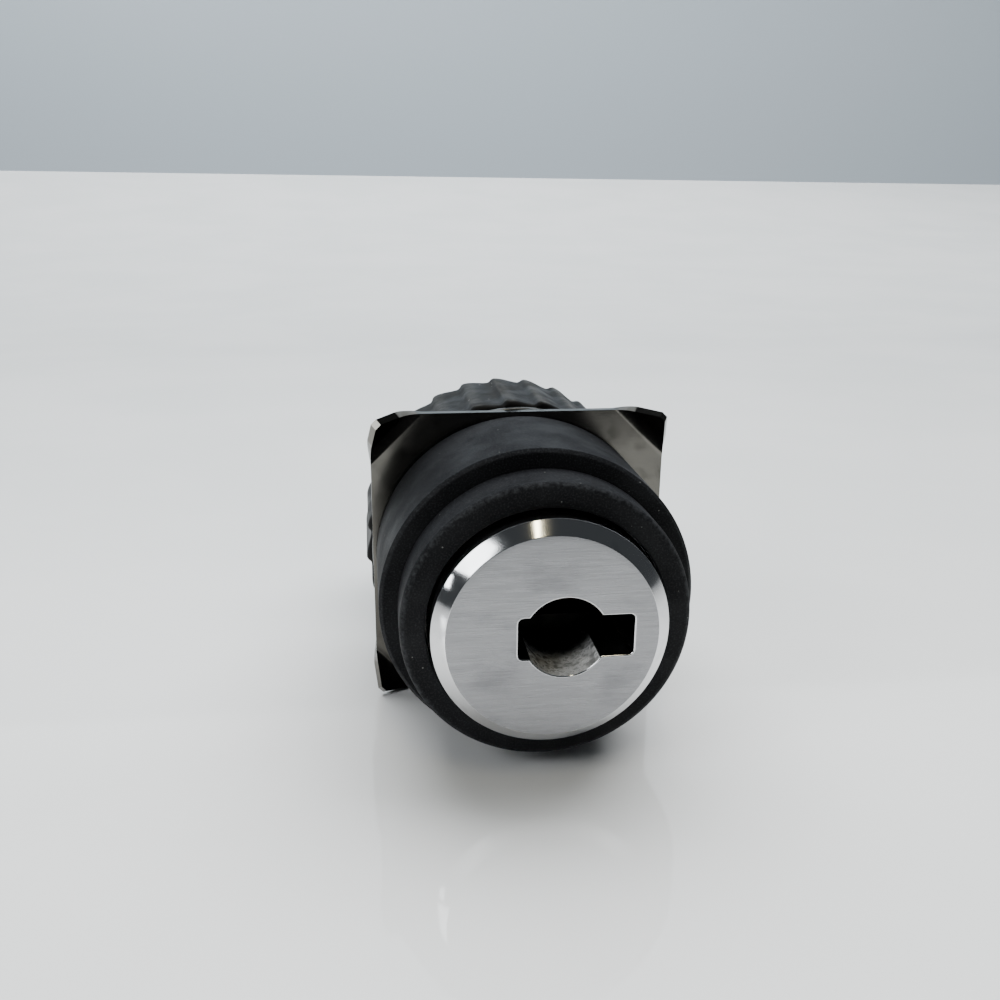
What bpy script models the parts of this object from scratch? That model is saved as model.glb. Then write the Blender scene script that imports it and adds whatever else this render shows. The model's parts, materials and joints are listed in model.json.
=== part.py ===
"""Panel key selector: bezel, key lock, clamping plate and nut, cam, plungers and contact block.

Metres. +Z is up and the lock faces -Y. The origin lies on the bezel's axis, in the plane where
the collar's back seats on the panel.
"""

import math

import bmesh
import bpy
from mathutils import Vector

MM = 0.001
GAP = 0.3 * MM                  # clearance between touching or sliding pieces
MERGE = 0.001 * MM
SEGMENTS = 32                   # facets round a turned piece

# Bezel: collar, guard ring and threaded shank
COLLAR_CHAMFER = 0.35 * MM
SOCKET_WALL = 1.9 * MM          # collar wall round the guard ring's socket
SOCKET_DEPTH = 3.8 * MM
POCKET_FLOOR = 1.0 * MM         # wall left behind the lock's pocket
GUARD_REACH = 4.8 * MM          # how far the guard ring stands in front of the collar
GUARD_ROUNDING = 0.6 * MM
GUARD_LIP = 1.3 * MM
GUARD_SPIGOT_WALL = 1.0 * MM
GUARD_SHOULDER = 0.55 * MM      # step from the guard ring's spigot out to its rim
SHANK_LENGTH = 23.5 * MM
SHANK_WALL = 1.7 * MM           # from the chamber out to the thread's root
THREAD_DEPTH = 0.7 * MM
THREAD_PITCH = 1.5 * MM
KEYSLOT_WIDTH = 3.0 * MM        # flat along the thread that keeps the plate from turning
KEYSLOT_DEPTH = 0.2 * MM        # below the thread's root
GASKET_WIDTH = 1.8 * MM
GASKET_DEPTH = 1.0 * MM
GASKET_WALL = 1.1 * MM          # collar wall outside the gasket groove
GASKET_INNER_WALL = 0.9 * MM    # collar wall between the groove and the lock's pocket
GASKET_SPACE = 0.6 * MM         # from the thread's crest out to the groove

# Lock: cap, barrel, rotor and wafers. The rotor's axis stands to the right of the bezel's.
ROTOR_OFFSET = 1.1 * MM
CAP_RADIUS = 10.33 * MM
CAP_CHAMFER = 1.16 * MM         # width of the bevel round the cap's face
CAP_BEVEL = 1.03 * MM           # and its height
CAP_PROUD = 2.68 * MM           # cap face in front of the guard ring's face
CAP_FLANGE = 1.1 * MM
CAP_WAIST = 0.93 * MM           # step from the cap's edge down to its waist
SEAL_SECTION = 0.55 * MM
SEAL_SPACE = 0.52 * MM          # room beside the seal, behind the cap's flange
KEYHOLE_RADIUS = 3.6 * MM
SLOT_LEFT = 4.1 * MM            # slot ends, from the rotor's axis
SLOT_RIGHT = 5.9 * MM
SLOT_HEIGHT = 3.74 * MM
BARREL_WALL = 1.5 * MM          # least wall outside the wafers' grooves
BARREL_STEP = 0.07 * MM         # from the cap's edge out to the barrel
BARREL_REAR_WALL = 0.8 * MM
ROTOR_SKIN = 0.07 * MM          # rotor metal outside a wafer's corners
ROTOR_PLAY = 0.38 * MM
TAIL_RADIUS = 3.6 * MM
CLIP_GROOVE_DEPTH = 0.6 * MM
CLIP_THICKNESS = 0.6 * MM
CLIP_WIDTH = 1.7 * MM
CLIP_MOUTH = 0.7                # half width of the clip's mouth, as a share of its bore
CLIP_PLAY = 0.1 * MM
TAIL_REACH = 1.8 * MM           # tail behind the clip
TONGUE_WIDTH = 5.4 * MM
TONGUE_THICKNESS = 2.0 * MM
TONGUE_LENGTH = 3.0 * MM
BLADE_LEFT = 3.7 * MM           # key blade, from the rotor's axis
BLADE_RIGHT = 5.3 * MM
BLADE_SLOT = 2.5 * MM
WAFER_COUNT = 4
WAFER_THICKNESS = 0.8 * MM
WAFER_PITCH = 2.1 * MM
WAFER_HEIGHT = 4.8 * MM
WAFER_LEFT_WALL = 1.3 * MM
WAFER_RIGHT_WALL = 0.9 * MM
WAFER_TRAVEL = 0.8 * MM
WINDOW_PLAY = 0.2 * MM
FIRST_WAFER = 1.7 * MM          # rotor's front to the middle of the first wafer
LAST_WAFER = 1.9 * MM           # middle of the last wafer to the rotor's shoulder
LUG_WIDTH = 1.0 * MM
LUG_HEIGHT = 1.5 * MM
WAFER_SPRING_LENGTH = 2.6 * MM
WAFER_SPRING_RADIUS = 0.35 * MM
WAFER_SPRING_RISE = 0.1 * MM
WAFER_WIRE = 0.1 * MM

# Drive cam, stop and index spring
HUB_SIDE = 8.0 * MM
HUB_LENGTH = 3.9 * MM
DISC_THICKNESS = 1.6 * MM
CAM_CLEARANCE = 0.6 * MM        # between the cam disc and the chamber's wall
STOP_WIDTH = 1.6 * MM
STOP_DEPTH = 1.6 * MM
KEY_THROW = math.radians(90)
PLUNGER_STROKE = 2.4 * MM
RAMP_WIDTH = 2.2 * MM
RAMP_RIM = 0.2 * MM             # disc left outside the outer ramp
RAMP_BASE = 0.3 * MM            # ramp height under a resting plunger
RAMP_ROOT = 0.15 * MM           # how deep a ramp is rooted in the disc
RAMP_MARGIN = math.radians(8)
RAMP_STEPS = 14
LEAF_THICKNESS = 0.4 * MM
LEAF_WIDTH = 2.6 * MM

# Panel clamp
PLATE_BAND = 3.5 * MM           # from the clamp's bore to the middle of a side
PLATE_THICKNESS = 0.8 * MM
TOOTH_RUN = 1.0 * MM            # how far the plate's tooth is rooted outside the bore
TOOTH_PLAY = 0.1 * MM
CORNER_LEG = 5.2 * MM           # side of the triangle folded forward at each corner
CORNER_CUT = 0.5 * MM
CORNER_FOLD = math.radians(34)
FOLD_RADIUS = 1.5 * MM
WASHER_BAND = 3.6 * MM
WASHER_THICKNESS = 0.6 * MM
NUT_WALL = 4.2 * MM
NUT_LENGTH = 12.3 * MM
NUT_CHAMFER = 0.6 * MM
FLUTES = 26
FLUTE_POINTS = 5
FLUTE_DEPTH = 0.9 * MM
FLUTE_RISE = 0.25               # share of a flute's pitch taken by its steep flank

# Contact block
PLUNGER_SPACING = 9.0 * MM
PLUNGER_RADIUS = 1.1 * MM
PLUNGER_TIP = 0.4 * MM
PLUNGER_CONE = 0.8 * MM
PLUNGER_SHOULDER = 1.8 * MM
PLUNGER_STEM = 0.8 * MM
PLUNGER_TAIL = 3.3 * MM         # stem behind the bridge
SPIGOT_CLEARANCE = 2.6 * MM     # from the ramps' highest point to the spigot
SPIGOT_WALL = 1.3 * MM
GRUB_FROM_END = 1.9 * MM
BLOCK_DEPTH = 11.2 * MM
BLOCK_FRONT_WALL = 2.2 * MM
BLOCK_SIDE_WALL = 4.4 * MM
BLOCK_EDGE_WALL = 1.0 * MM
BLOCK_CORNER = 3.2 * MM
CORNER_STEPS = 5
NECK_REACH = 1.3 * MM           # the case's round neck, beyond its spigot
NECK_THICKNESS = 1.7 * MM
BLOCK_RIB = 1.8 * MM            # wall between the two chambers
COVER_THICKNESS = 1.5 * MM
BRIDGE_WIDTH = 3.0 * MM
BRIDGE_THICKNESS = 0.5 * MM
CONTACT_LAP = 1.4 * MM          # how far a bridge reaches over a fixed contact
STRIP_WIDTH = 2.8 * MM
STRIP_THICKNESS = 0.8 * MM
STRIP_SPACE = 0.2 * MM          # between a bridge's end and a strip, beyond the clearance
STRIP_MARGIN = 0.3 * MM         # between a strip and the chamber's wall
TAB_LENGTH = 5.2 * MM
TAB_POINT = 0.5 * MM
TAB_BEVEL = 0.25 * MM
RETURN_WIRE = 0.2 * MM
SCREW_RADIUS = 0.9 * MM
SCREW_HEAD_RADIUS = 1.9 * MM
SCREW_HEAD_HEIGHT = 1.2 * MM
SCREW_BITE = 6.5 * MM           # thread length inside the housing
GRUB_SLOT_DEPTH = 0.6 * MM
DRIVER_SLOT = 0.5 * MM

# Radii and widths, worked out from the inside outwards
WAFER_LEFT = BLADE_LEFT + GAP + WAFER_LEFT_WALL
WAFER_RIGHT = BLADE_RIGHT + GAP + WAFER_RIGHT_WALL
GROOVE_REACH = WAFER_RIGHT + WAFER_TRAVEL + 1.6 * GAP
ROTOR_RADIUS = math.hypot(WAFER_RIGHT, WAFER_HEIGHT / 2) + ROTOR_SKIN
BARREL_RADIUS = max(CAP_RADIUS + BARREL_STEP, ROTOR_OFFSET + GROOVE_REACH + BARREL_WALL)
POCKET_RADIUS = BARREL_RADIUS + GAP
FLANGE_RADIUS = POCKET_RADIUS + GAP
GUARD_BORE = FLANGE_RADIUS + GAP
GUARD_SPIGOT_RADIUS = GUARD_BORE + GUARD_SPIGOT_WALL
GUARD_RADIUS = GUARD_SPIGOT_RADIUS + GUARD_SHOULDER
SOCKET_RADIUS = GUARD_SPIGOT_RADIUS + GAP
LEFT_RAMP_RADIUS = PLUNGER_SPACING / 2 + ROTOR_OFFSET
RIGHT_RAMP_RADIUS = PLUNGER_SPACING / 2 - ROTOR_OFFSET
DISC_RADIUS = LEFT_RAMP_RADIUS + RAMP_WIDTH / 2 + RAMP_RIM
SPRING_REACH = HUB_SIDE + GAP + LEAF_THICKNESS - ROTOR_OFFSET
CHAMBER_RADIUS = max(ROTOR_OFFSET + DISC_RADIUS + CAM_CLEARANCE, SPRING_REACH + 2 * GAP)
THREAD_ROOT = CHAMBER_RADIUS + SHANK_WALL
THREAD_CREST = THREAD_ROOT + THREAD_DEPTH
GASKET_INNER = max(THREAD_CREST + GASKET_SPACE, POCKET_RADIUS + GASKET_INNER_WALL)
GASKET_OUTER = GASKET_INNER + GASKET_WIDTH
COLLAR_RADIUS = max(SOCKET_RADIUS + SOCKET_WALL, GASKET_OUTER + GASKET_WALL)
CLAMP_BORE = THREAD_CREST + GAP
PLATE_SIDE = 2 * (CLAMP_BORE + PLATE_BAND)
WASHER_RADIUS = CLAMP_BORE + WASHER_BAND
NUT_RADIUS = CLAMP_BORE + NUT_WALL
SPIGOT_RADIUS = CHAMBER_RADIUS - GAP
RETURN_SPRING_RADIUS = PLUNGER_SHOULDER - RETURN_WIRE
BRIDGE_LENGTH = 2 * (PLUNGER_SHOULDER + GAP + CONTACT_LAP)
STRIP_OUTER = BRIDGE_LENGTH / 2 + GAP + STRIP_THICKNESS + STRIP_SPACE
BLOCK_HEIGHT = 2 * (STRIP_OUTER + STRIP_MARGIN + BLOCK_EDGE_WALL)
CHAMBER_WIDTH = PLUNGER_SPACING - BLOCK_RIB
BLOCK_WIDTH = PLUNGER_SPACING + CHAMBER_WIDTH + 2 * BLOCK_SIDE_WALL
SCREW_PLACE = BLOCK_WIDTH / 2 - BLOCK_SIDE_WALL / 2

# Places along the axis: the lock from the collar's back forwards, the rest backwards
ROTOR_LENGTH = FIRST_WAFER + (WAFER_COUNT - 1) * WAFER_PITCH + LAST_WAFER
CAP_THICKNESS = CAP_PROUD + GUARD_LIP + GAP + CAP_FLANGE + 2 * SEAL_SECTION + SEAL_SPACE
POCKET_BACK = -POCKET_FLOOR
BARREL_BACK = POCKET_BACK - 2 * GAP
BORE_BACK = BARREL_BACK - BARREL_REAR_WALL
ROTOR_SHOULDER = BORE_BACK - ROTOR_PLAY
ROTOR_FRONT = ROTOR_SHOULDER - ROTOR_LENGTH
BARREL_FRONT = ROTOR_FRONT - GAP
CAP_BACK = BARREL_FRONT - GAP
CAP_FRONT = CAP_BACK - CAP_THICKNESS
GUARD_FRONT = CAP_FRONT + CAP_PROUD
CAP_FLANGE_FRONT = GUARD_FRONT + GUARD_LIP + GAP
COLLAR_FRONT = GUARD_FRONT + GUARD_REACH
SOCKET_FLOOR = COLLAR_FRONT + SOCKET_DEPTH
CLIP_FRONT = BARREL_BACK + GAP + CLIP_PLAY
TAIL_BACK = CLIP_FRONT + CLIP_THICKNESS + TAIL_REACH
CAM_FRONT = TAIL_BACK + GAP
DISC_FRONT = CAM_FRONT + HUB_LENGTH
DISC_BACK = DISC_FRONT + DISC_THICKNESS
RAMP_REST = DISC_BACK + RAMP_BASE
RAMP_TOP = RAMP_REST + PLUNGER_STROKE * (1 + RAMP_MARGIN / KEY_THROW)
PLUNGER_FRONT = RAMP_REST + GAP
PLATE_FRONT = GAP
PLATE_BACK = PLATE_FRONT + PLATE_THICKNESS
WASHER_FRONT = PLATE_BACK + GAP
NUT_FRONT = WASHER_FRONT + WASHER_THICKNESS + GAP
SPIGOT_FRONT = RAMP_TOP + SPIGOT_CLEARANCE
GRUB_PLACE = SHANK_LENGTH - GRUB_FROM_END
BLOCK_FRONT = SHANK_LENGTH + GAP
BLOCK_BACK = BLOCK_FRONT + BLOCK_DEPTH
CHAMBER_FRONT = BLOCK_FRONT + BLOCK_FRONT_WALL
SHOULDER_FRONT = CHAMBER_FRONT + 2 * GAP
BRIDGE_FRONT = SHOULDER_FRONT + STRIP_THICKNESS + GAP
BRIDGE_BACK = BRIDGE_FRONT + BRIDGE_THICKNESS
COVER_FRONT = BLOCK_BACK + GAP
COVER_BACK = COVER_FRONT + COVER_THICKNESS
TAB_BACK = COVER_BACK + TAB_LENGTH

MATERIALS = {
    "black_plastic": ((0.022, 0.023, 0.026), 0.62, 0.0),
    "chrome": ((0.78, 0.78, 0.79), 0.18, 1.0),
    "zinc": ((0.42, 0.42, 0.43), 0.45, 1.0),
    "brass": ((0.62, 0.46, 0.20), 0.35, 1.0),
    "tinned_brass": ((0.66, 0.64, 0.58), 0.35, 1.0),
    "screw_steel": ((0.50, 0.49, 0.46), 0.4, 1.0),
    "sheet_steel": ((0.56, 0.56, 0.55), 0.28, 1.0),
    "spring_steel": ((0.46, 0.46, 0.48), 0.35, 1.0),
    "rubber": ((0.015, 0.015, 0.015), 0.85, 0.0),
    "white_plastic": ((0.78, 0.77, 0.72), 0.5, 0.0),
    "grey_plastic": ((0.10, 0.105, 0.11), 0.6, 0.0),
    "silver": ((0.80, 0.79, 0.76), 0.3, 1.0),
}


# ---------------------------------------------------------------- building tools

def clear_scene():
    """Removes every object of the start-up scene."""
    for obj in list(bpy.data.objects):
        bpy.data.objects.remove(obj, do_unlink=True)


def material(name):
    """The named Principled material, made on first use."""
    found = bpy.data.materials.get(name)
    if found:
        return found
    colour, roughness, metallic = MATERIALS[name]
    made = bpy.data.materials.new(name)
    made.use_nodes = True
    shader = made.node_tree.nodes["Principled BSDF"]
    shader.inputs["Base Color"].default_value = (*colour, 1.0)
    shader.inputs["Roughness"].default_value = roughness
    shader.inputs["Metallic"].default_value = metallic
    made.diffuse_color = (*colour, 1.0)
    return made


def add_object(name, bm, finish, centre=(0, 0, 0)):
    """Writes a bmesh to an object of its own, with its faces pointing out."""
    bmesh.ops.recalc_face_normals(bm, faces=bm.faces)
    if bm.calc_volume(signed=True) < 0:
        bmesh.ops.reverse_faces(bm, faces=bm.faces)
    mesh = bpy.data.meshes.new(name)
    bm.to_mesh(mesh)
    bm.free()
    mesh.shade_smooth()
    mesh.set_sharp_from_angle(angle=math.radians(30))
    obj = bpy.data.objects.new(name, mesh)
    obj.location = centre
    bpy.context.scene.collection.objects.link(obj)
    if finish:
        mesh.materials.append(material(finish))
    return obj


def turned(name, profile, finish=None, centre=(0, 0, 0), segments=SEGMENTS):
    """Spins a closed (radius, y) profile round the Y axis."""
    bm = bmesh.new()
    points = [bm.verts.new((radius, y, 0)) for radius, y in profile]
    for start, end in zip(points, points[1:] + points[:1]):
        if start.co.x > 0 or end.co.x > 0:
            bm.edges.new((start, end))
    bmesh.ops.spin(bm, geom=bm.verts[:] + bm.edges[:], cent=(0, 0, 0), axis=(0, 1, 0),
                   angle=math.tau, steps=segments, use_merge=True)
    bmesh.ops.remove_doubles(bm, verts=bm.verts, dist=MERGE)
    return add_object(name, bm, finish, centre)


def prism(name, outline, y_front, y_back, finish=None, centre=(0, 0, 0)):
    """Extrudes an (x, z) outline along Y."""
    bm = bmesh.new()
    face = bm.faces.new([bm.verts.new((x, y_front, z)) for x, z in outline])
    grown = bmesh.ops.extrude_face_region(bm, geom=[face])["geom"]
    moved = [item for item in grown if isinstance(item, bmesh.types.BMVert)]
    bmesh.ops.translate(bm, verts=moved, vec=(0, y_back - y_front, 0))
    return add_object(name, bm, finish, centre)


def box(name, x_span, y_span, z_span, finish=None, centre=(0, 0, 0)):
    """A plain block between two limits on each axis."""
    outline = [(x_span[0], z_span[0]), (x_span[1], z_span[0]),
               (x_span[1], z_span[1]), (x_span[0], z_span[1])]
    return prism(name, outline, y_span[0], y_span[1], finish, centre)


def rod(name, radius, y_span, centre=(0, 0, 0), segments=24):
    """A plain cylinder along Y."""
    profile = [(0, y_span[0]), (radius, y_span[0]), (radius, y_span[1]), (0, y_span[1])]
    return turned(name, profile, None, centre, segments)


def combine(target, tool, operation):
    """Cuts a tool out of a piece, or joins it on, and hides the tool."""
    tool.hide_render = True
    tool.display_type = "WIRE"
    step = target.modifiers.new(tool.name, "BOOLEAN")
    step.operation = operation
    step.object = tool
    step.solver = "EXACT"


def cut(target, *tools):
    for tool in tools:
        combine(target, tool, "DIFFERENCE")


def join(target, *tools):
    for tool in tools:
        combine(target, tool, "UNION")


def coil(name, start, end, radius, wire, turns, steps, finish):
    """A round-wire compression spring between two points."""
    axis = Vector(end) - Vector(start)
    frame = axis.to_track_quat("Z", "Y").to_matrix()
    curve = bpy.data.curves.new(name, "CURVE")
    curve.dimensions = "3D"
    curve.bevel_depth = wire
    curve.bevel_resolution = 0
    curve.use_fill_caps = True
    spline = curve.splines.new("POLY")
    count = turns * steps + 1
    spline.points.add(count - 1)
    for index, point in enumerate(spline.points):
        angle = math.tau * index / steps
        along = wire + (axis.length - 2 * wire) * index / (count - 1)
        local = Vector((radius * math.cos(angle), radius * math.sin(angle), along))
        point.co = (*(Vector(start) + frame @ local), 1.0)
    curve.materials.append(material(finish))
    obj = bpy.data.objects.new(name, curve)
    bpy.context.scene.collection.objects.link(obj)
    return obj


def on_rotor(x=0.0):
    """A centre on the rotor's axis, shifted along X."""
    return (ROTOR_OFFSET + x, 0, 0)


# ---------------------------------------------------------------- bezel

def thread_profile():
    """Root and crest points of the shank's thread, front to back."""
    turns = int((SHANK_LENGTH - 2 * THREAD_PITCH) / THREAD_PITCH)
    points = [(THREAD_ROOT, 0.0)]
    for turn in range(turns):
        start = THREAD_PITCH * (turn + 0.75)
        points.append((THREAD_ROOT, start))
        points.append((THREAD_CREST, start + THREAD_PITCH / 2))
    points.append((THREAD_ROOT, THREAD_PITCH * (turns + 0.75)))
    return points


def bezel_body():
    """Collar and threaded shank in one moulding, bored for the lock, cam and contact block."""
    chamfer = COLLAR_CHAMFER
    profile = [
        (SOCKET_RADIUS, COLLAR_FRONT),
        (COLLAR_RADIUS - chamfer, COLLAR_FRONT),
        (COLLAR_RADIUS, COLLAR_FRONT + chamfer),
        (COLLAR_RADIUS, -chamfer),
        (COLLAR_RADIUS - chamfer, 0),
        (GASKET_OUTER, 0),
        (GASKET_OUTER, -GASKET_DEPTH),
        (GASKET_INNER, -GASKET_DEPTH),
        (GASKET_INNER, 0),
    ]
    profile += thread_profile()
    profile += [
        (THREAD_ROOT, SHANK_LENGTH - chamfer),
        (THREAD_ROOT - chamfer, SHANK_LENGTH),
        (CHAMBER_RADIUS, SHANK_LENGTH),
        (CHAMBER_RADIUS, POCKET_BACK),
        (POCKET_RADIUS, POCKET_BACK),
        (POCKET_RADIUS, SOCKET_FLOOR),
        (SOCKET_RADIUS, SOCKET_FLOOR),
    ]
    body = turned("bezel_body", profile, "black_plastic")
    keyslot = box("keyslot_cutter", (-KEYSLOT_WIDTH / 2, KEYSLOT_WIDTH / 2),
                  (0.5 * GAP, SHANK_LENGTH + GAP),
                  (THREAD_ROOT - KEYSLOT_DEPTH, THREAD_CREST + GAP))
    stop = box("stop_tool", (-STOP_WIDTH / 2, STOP_WIDTH / 2),
               (DISC_FRONT + GAP, DISC_BACK - RAMP_ROOT - GAP),
               (DISC_RADIUS - STOP_DEPTH + GAP, (CHAMBER_RADIUS + THREAD_ROOT) / 2),
               centre=on_rotor())
    grub_bore = rod("grub_bore_cutter", SCREW_RADIUS + GAP,
                    (-THREAD_CREST - GAP, THREAD_CREST + GAP))
    grub_bore.rotation_euler = (0, 0, math.pi / 2)
    grub_bore.location = (0, GRUB_PLACE, 0)
    cut(body, keyslot, grub_bore)
    join(body, stop)


def guard_ring():
    """Front ring that stands round the lock's cap and plugs into the collar."""
    back = COLLAR_FRONT - GAP
    corner = Vector((GUARD_RADIUS - GUARD_ROUNDING, GUARD_FRONT + GUARD_ROUNDING))
    rounding = []
    for step in range(3):
        angle = math.radians(45 * step)
        rounding.append((corner.x + GUARD_ROUNDING * math.sin(angle),
                         corner.y - GUARD_ROUNDING * math.cos(angle)))
    profile = [(CAP_RADIUS + GAP, GUARD_FRONT)] + rounding + [
        (GUARD_RADIUS, back),
        (GUARD_SPIGOT_RADIUS, back),
        (GUARD_SPIGOT_RADIUS, SOCKET_FLOOR - GAP),
        (GUARD_BORE, SOCKET_FLOOR - GAP),
        (GUARD_BORE, GUARD_FRONT + GUARD_LIP),
        (CAP_RADIUS + GAP, GUARD_FRONT + GUARD_LIP),
    ]
    turned("guard_ring", profile, "black_plastic")


def panel_gasket():
    """Rubber ring let into the back of the collar."""
    profile = [
        (GASKET_INNER + GAP, -GASKET_DEPTH + GAP),
        (GASKET_OUTER - GAP, -GASKET_DEPTH + GAP),
        (GASKET_OUTER - GAP, 0),
        (GASKET_INNER + GAP, 0),
    ]
    turned("panel_gasket", profile, "rubber")


# ---------------------------------------------------------------- lock

def lock_cap():
    """Chromed front cap, with a round keyhole crossed by a slot for the key's bits."""
    flange_back = CAP_FLANGE_FRONT + CAP_FLANGE
    waist = CAP_RADIUS - CAP_WAIST
    profile = [
        (0, CAP_FRONT),
        (CAP_RADIUS - CAP_CHAMFER, CAP_FRONT),
        (CAP_RADIUS, CAP_FRONT + CAP_BEVEL),
        (CAP_RADIUS, CAP_FLANGE_FRONT),
        (FLANGE_RADIUS, CAP_FLANGE_FRONT),
        (FLANGE_RADIUS, flange_back),
        (waist, flange_back),
        (waist, CAP_BACK),
        (0, CAP_BACK),
    ]
    cap = turned("lock_cap", profile, "chrome")
    depth = (CAP_FRONT - GAP, CAP_BACK + GAP)
    keyhole = rod("keyhole_cutter", KEYHOLE_RADIUS, depth, on_rotor())
    slot = box("slot_cutter", (-SLOT_LEFT, SLOT_RIGHT), depth,
               (-SLOT_HEIGHT / 2, SLOT_HEIGHT / 2), centre=on_rotor())
    cut(cap, keyhole, slot)


def face_seal():
    """O-ring behind the cap's flange."""
    radius = GUARD_BORE - GAP - SEAL_SECTION
    middle = (CAP_FLANGE_FRONT + CAP_FLANGE + BARREL_FRONT) / 2
    sides = 6
    profile = []
    for step in range(sides):
        angle = math.tau * step / sides
        profile.append((radius + SEAL_SECTION * math.cos(angle),
                        middle + SEAL_SECTION * math.sin(angle)))
    turned("face_seal", profile, "rubber")


def lock_barrel():
    """Fixed barrel, bored off centre for the rotor and grooved where the wafers lock."""
    shoulder = SOCKET_FLOOR - GAP
    profile = [
        (0, BARREL_FRONT),
        (FLANGE_RADIUS, BARREL_FRONT),
        (FLANGE_RADIUS, shoulder),
        (BARREL_RADIUS, shoulder),
        (BARREL_RADIUS, BARREL_BACK),
        (0, BARREL_BACK),
    ]
    barrel = turned("lock_barrel", profile, "zinc")
    bore = rod("rotor_bore_cutter", ROTOR_RADIUS + GAP, (BARREL_FRONT - GAP, BORE_BACK),
               on_rotor(), SEGMENTS)
    tail_bore = rod("tail_bore_cutter", TAIL_RADIUS + GAP, (BORE_BACK - GAP, BARREL_BACK + GAP),
                    on_rotor())
    half = WAFER_HEIGHT / 2 + 1.3 * GAP
    span = (ROTOR_FRONT + 2 * GAP, BORE_BACK - 2 * GAP)
    right_groove = box("right_groove_cutter", (0, GROOVE_REACH), span, (-half, half),
                       centre=on_rotor())
    low_groove = box("low_groove_cutter", (-half, half), span, (-GROOVE_REACH, 0),
                     centre=on_rotor())
    cut(barrel, bore, tail_bore, right_groove, low_groove)


def wafer_places():
    """Middle of each wafer along the axis, front to back."""
    return [ROTOR_FRONT + FIRST_WAFER + WAFER_PITCH * index for index in range(WAFER_COUNT)]


def lock_rotor():
    """Rotor that the key turns, slotted for the wafers, with a tongue that drives the cam."""
    groove = TAIL_RADIUS - CLIP_GROOVE_DEPTH
    profile = [
        (0, ROTOR_FRONT),
        (ROTOR_RADIUS, ROTOR_FRONT),
        (ROTOR_RADIUS, ROTOR_SHOULDER),
        (TAIL_RADIUS, ROTOR_SHOULDER),
        (TAIL_RADIUS, CLIP_FRONT - GAP),
        (groove, CLIP_FRONT - GAP),
        (groove, CLIP_FRONT + CLIP_THICKNESS + GAP),
        (TAIL_RADIUS, CLIP_FRONT + CLIP_THICKNESS + GAP),
        (TAIL_RADIUS, TAIL_BACK),
        (0, TAIL_BACK),
    ]
    rotor = turned("lock_rotor", profile, "brass", on_rotor())
    tongue = box("tongue_tool", (-TONGUE_WIDTH / 2, TONGUE_WIDTH / 2),
                 (TAIL_BACK - GAP, TAIL_BACK + TONGUE_LENGTH),
                 (-TONGUE_THICKNESS / 2, TONGUE_THICKNESS / 2), centre=on_rotor())
    join(rotor, tongue)
    keyway = box("keyway_cutter", (-BLADE_LEFT, BLADE_RIGHT),
                 (ROTOR_FRONT - GAP, ROTOR_SHOULDER - 2 * GAP),
                 (-BLADE_SLOT / 2, BLADE_SLOT / 2), centre=on_rotor())
    cut(rotor, keyway)
    half_slot = WAFER_THICKNESS / 2 + GAP
    half_height = WAFER_HEIGHT / 2 + GAP
    for number, place in enumerate(wafer_places(), 1):
        span = (place - half_slot, place + half_slot)
        slot = box(f"wafer_slot_{number}_cutter", (-ROTOR_RADIUS - GAP, ROTOR_RADIUS + GAP), span,
                   (-half_height, half_height), centre=on_rotor())
        pocket_left = LUG_WIDTH - 3 * GAP - WAFER_SPRING_LENGTH
        pocket_right = 2 * LUG_WIDTH + WAFER_TRAVEL + GAP
        pocket = box(f"spring_pocket_{number}_cutter", (pocket_left, pocket_right), span,
                     (half_height - GAP, WAFER_HEIGHT / 2 + LUG_HEIGHT + GAP), centre=on_rotor())
        cut(rotor, slot, pocket)


def wafers():
    """Sliding wafers, each with its window for the blade, a lug and a coil spring."""
    half = WAFER_HEIGHT / 2
    outline = [
        (-WAFER_LEFT, -half), (WAFER_RIGHT, -half), (WAFER_RIGHT, half),
        (2 * LUG_WIDTH, half), (2 * LUG_WIDTH, half + LUG_HEIGHT),
        (LUG_WIDTH, half + LUG_HEIGHT), (LUG_WIDTH, half), (-WAFER_LEFT, half),
    ]
    window_half = BLADE_SLOT / 2 + WINDOW_PLAY
    window_span = (-BLADE_LEFT - WINDOW_PLAY, BLADE_RIGHT + WINDOW_PLAY)
    spring_height = half + LUG_HEIGHT - 2 * WAFER_SPRING_RADIUS + WAFER_SPRING_RISE
    spring_end = ROTOR_OFFSET + LUG_WIDTH - GAP
    for number, place in enumerate(wafer_places(), 1):
        span = (-WAFER_THICKNESS / 2, WAFER_THICKNESS / 2)
        centre = (ROTOR_OFFSET, place, 0)
        wafer = prism(f"wafer_{number}", outline, *span, "brass", centre)
        window = box(f"window_{number}_cutter", window_span, (-WAFER_THICKNESS, WAFER_THICKNESS),
                     (-window_half, window_half), centre=centre)
        cut(wafer, window)
        coil(f"wafer_spring_{number}", (spring_end - WAFER_SPRING_LENGTH, place, spring_height),
             (spring_end, place, spring_height), WAFER_SPRING_RADIUS, WAFER_WIRE, 5, 6, "spring_steel")


def rotor_clip():
    """Open clip in the tail's groove, which keeps the rotor in the barrel."""
    inner = TAIL_RADIUS - CLIP_GROOVE_DEPTH + GAP
    outer = inner + CLIP_WIDTH
    profile = [
        (inner, CLIP_FRONT), (outer, CLIP_FRONT),
        (outer, CLIP_FRONT + CLIP_THICKNESS), (inner, CLIP_FRONT + CLIP_THICKNESS),
    ]
    clip = turned("rotor_clip", profile, "spring_steel", on_rotor())
    mouth = inner * CLIP_MOUTH
    depth = (CLIP_FRONT - GAP, CLIP_FRONT + CLIP_THICKNESS + GAP)
    opening = box("clip_mouth_cutter", (-mouth, mouth), depth, (-outer - GAP, 0), centre=on_rotor())
    cut(clip, opening)


# ---------------------------------------------------------------- drive

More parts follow.
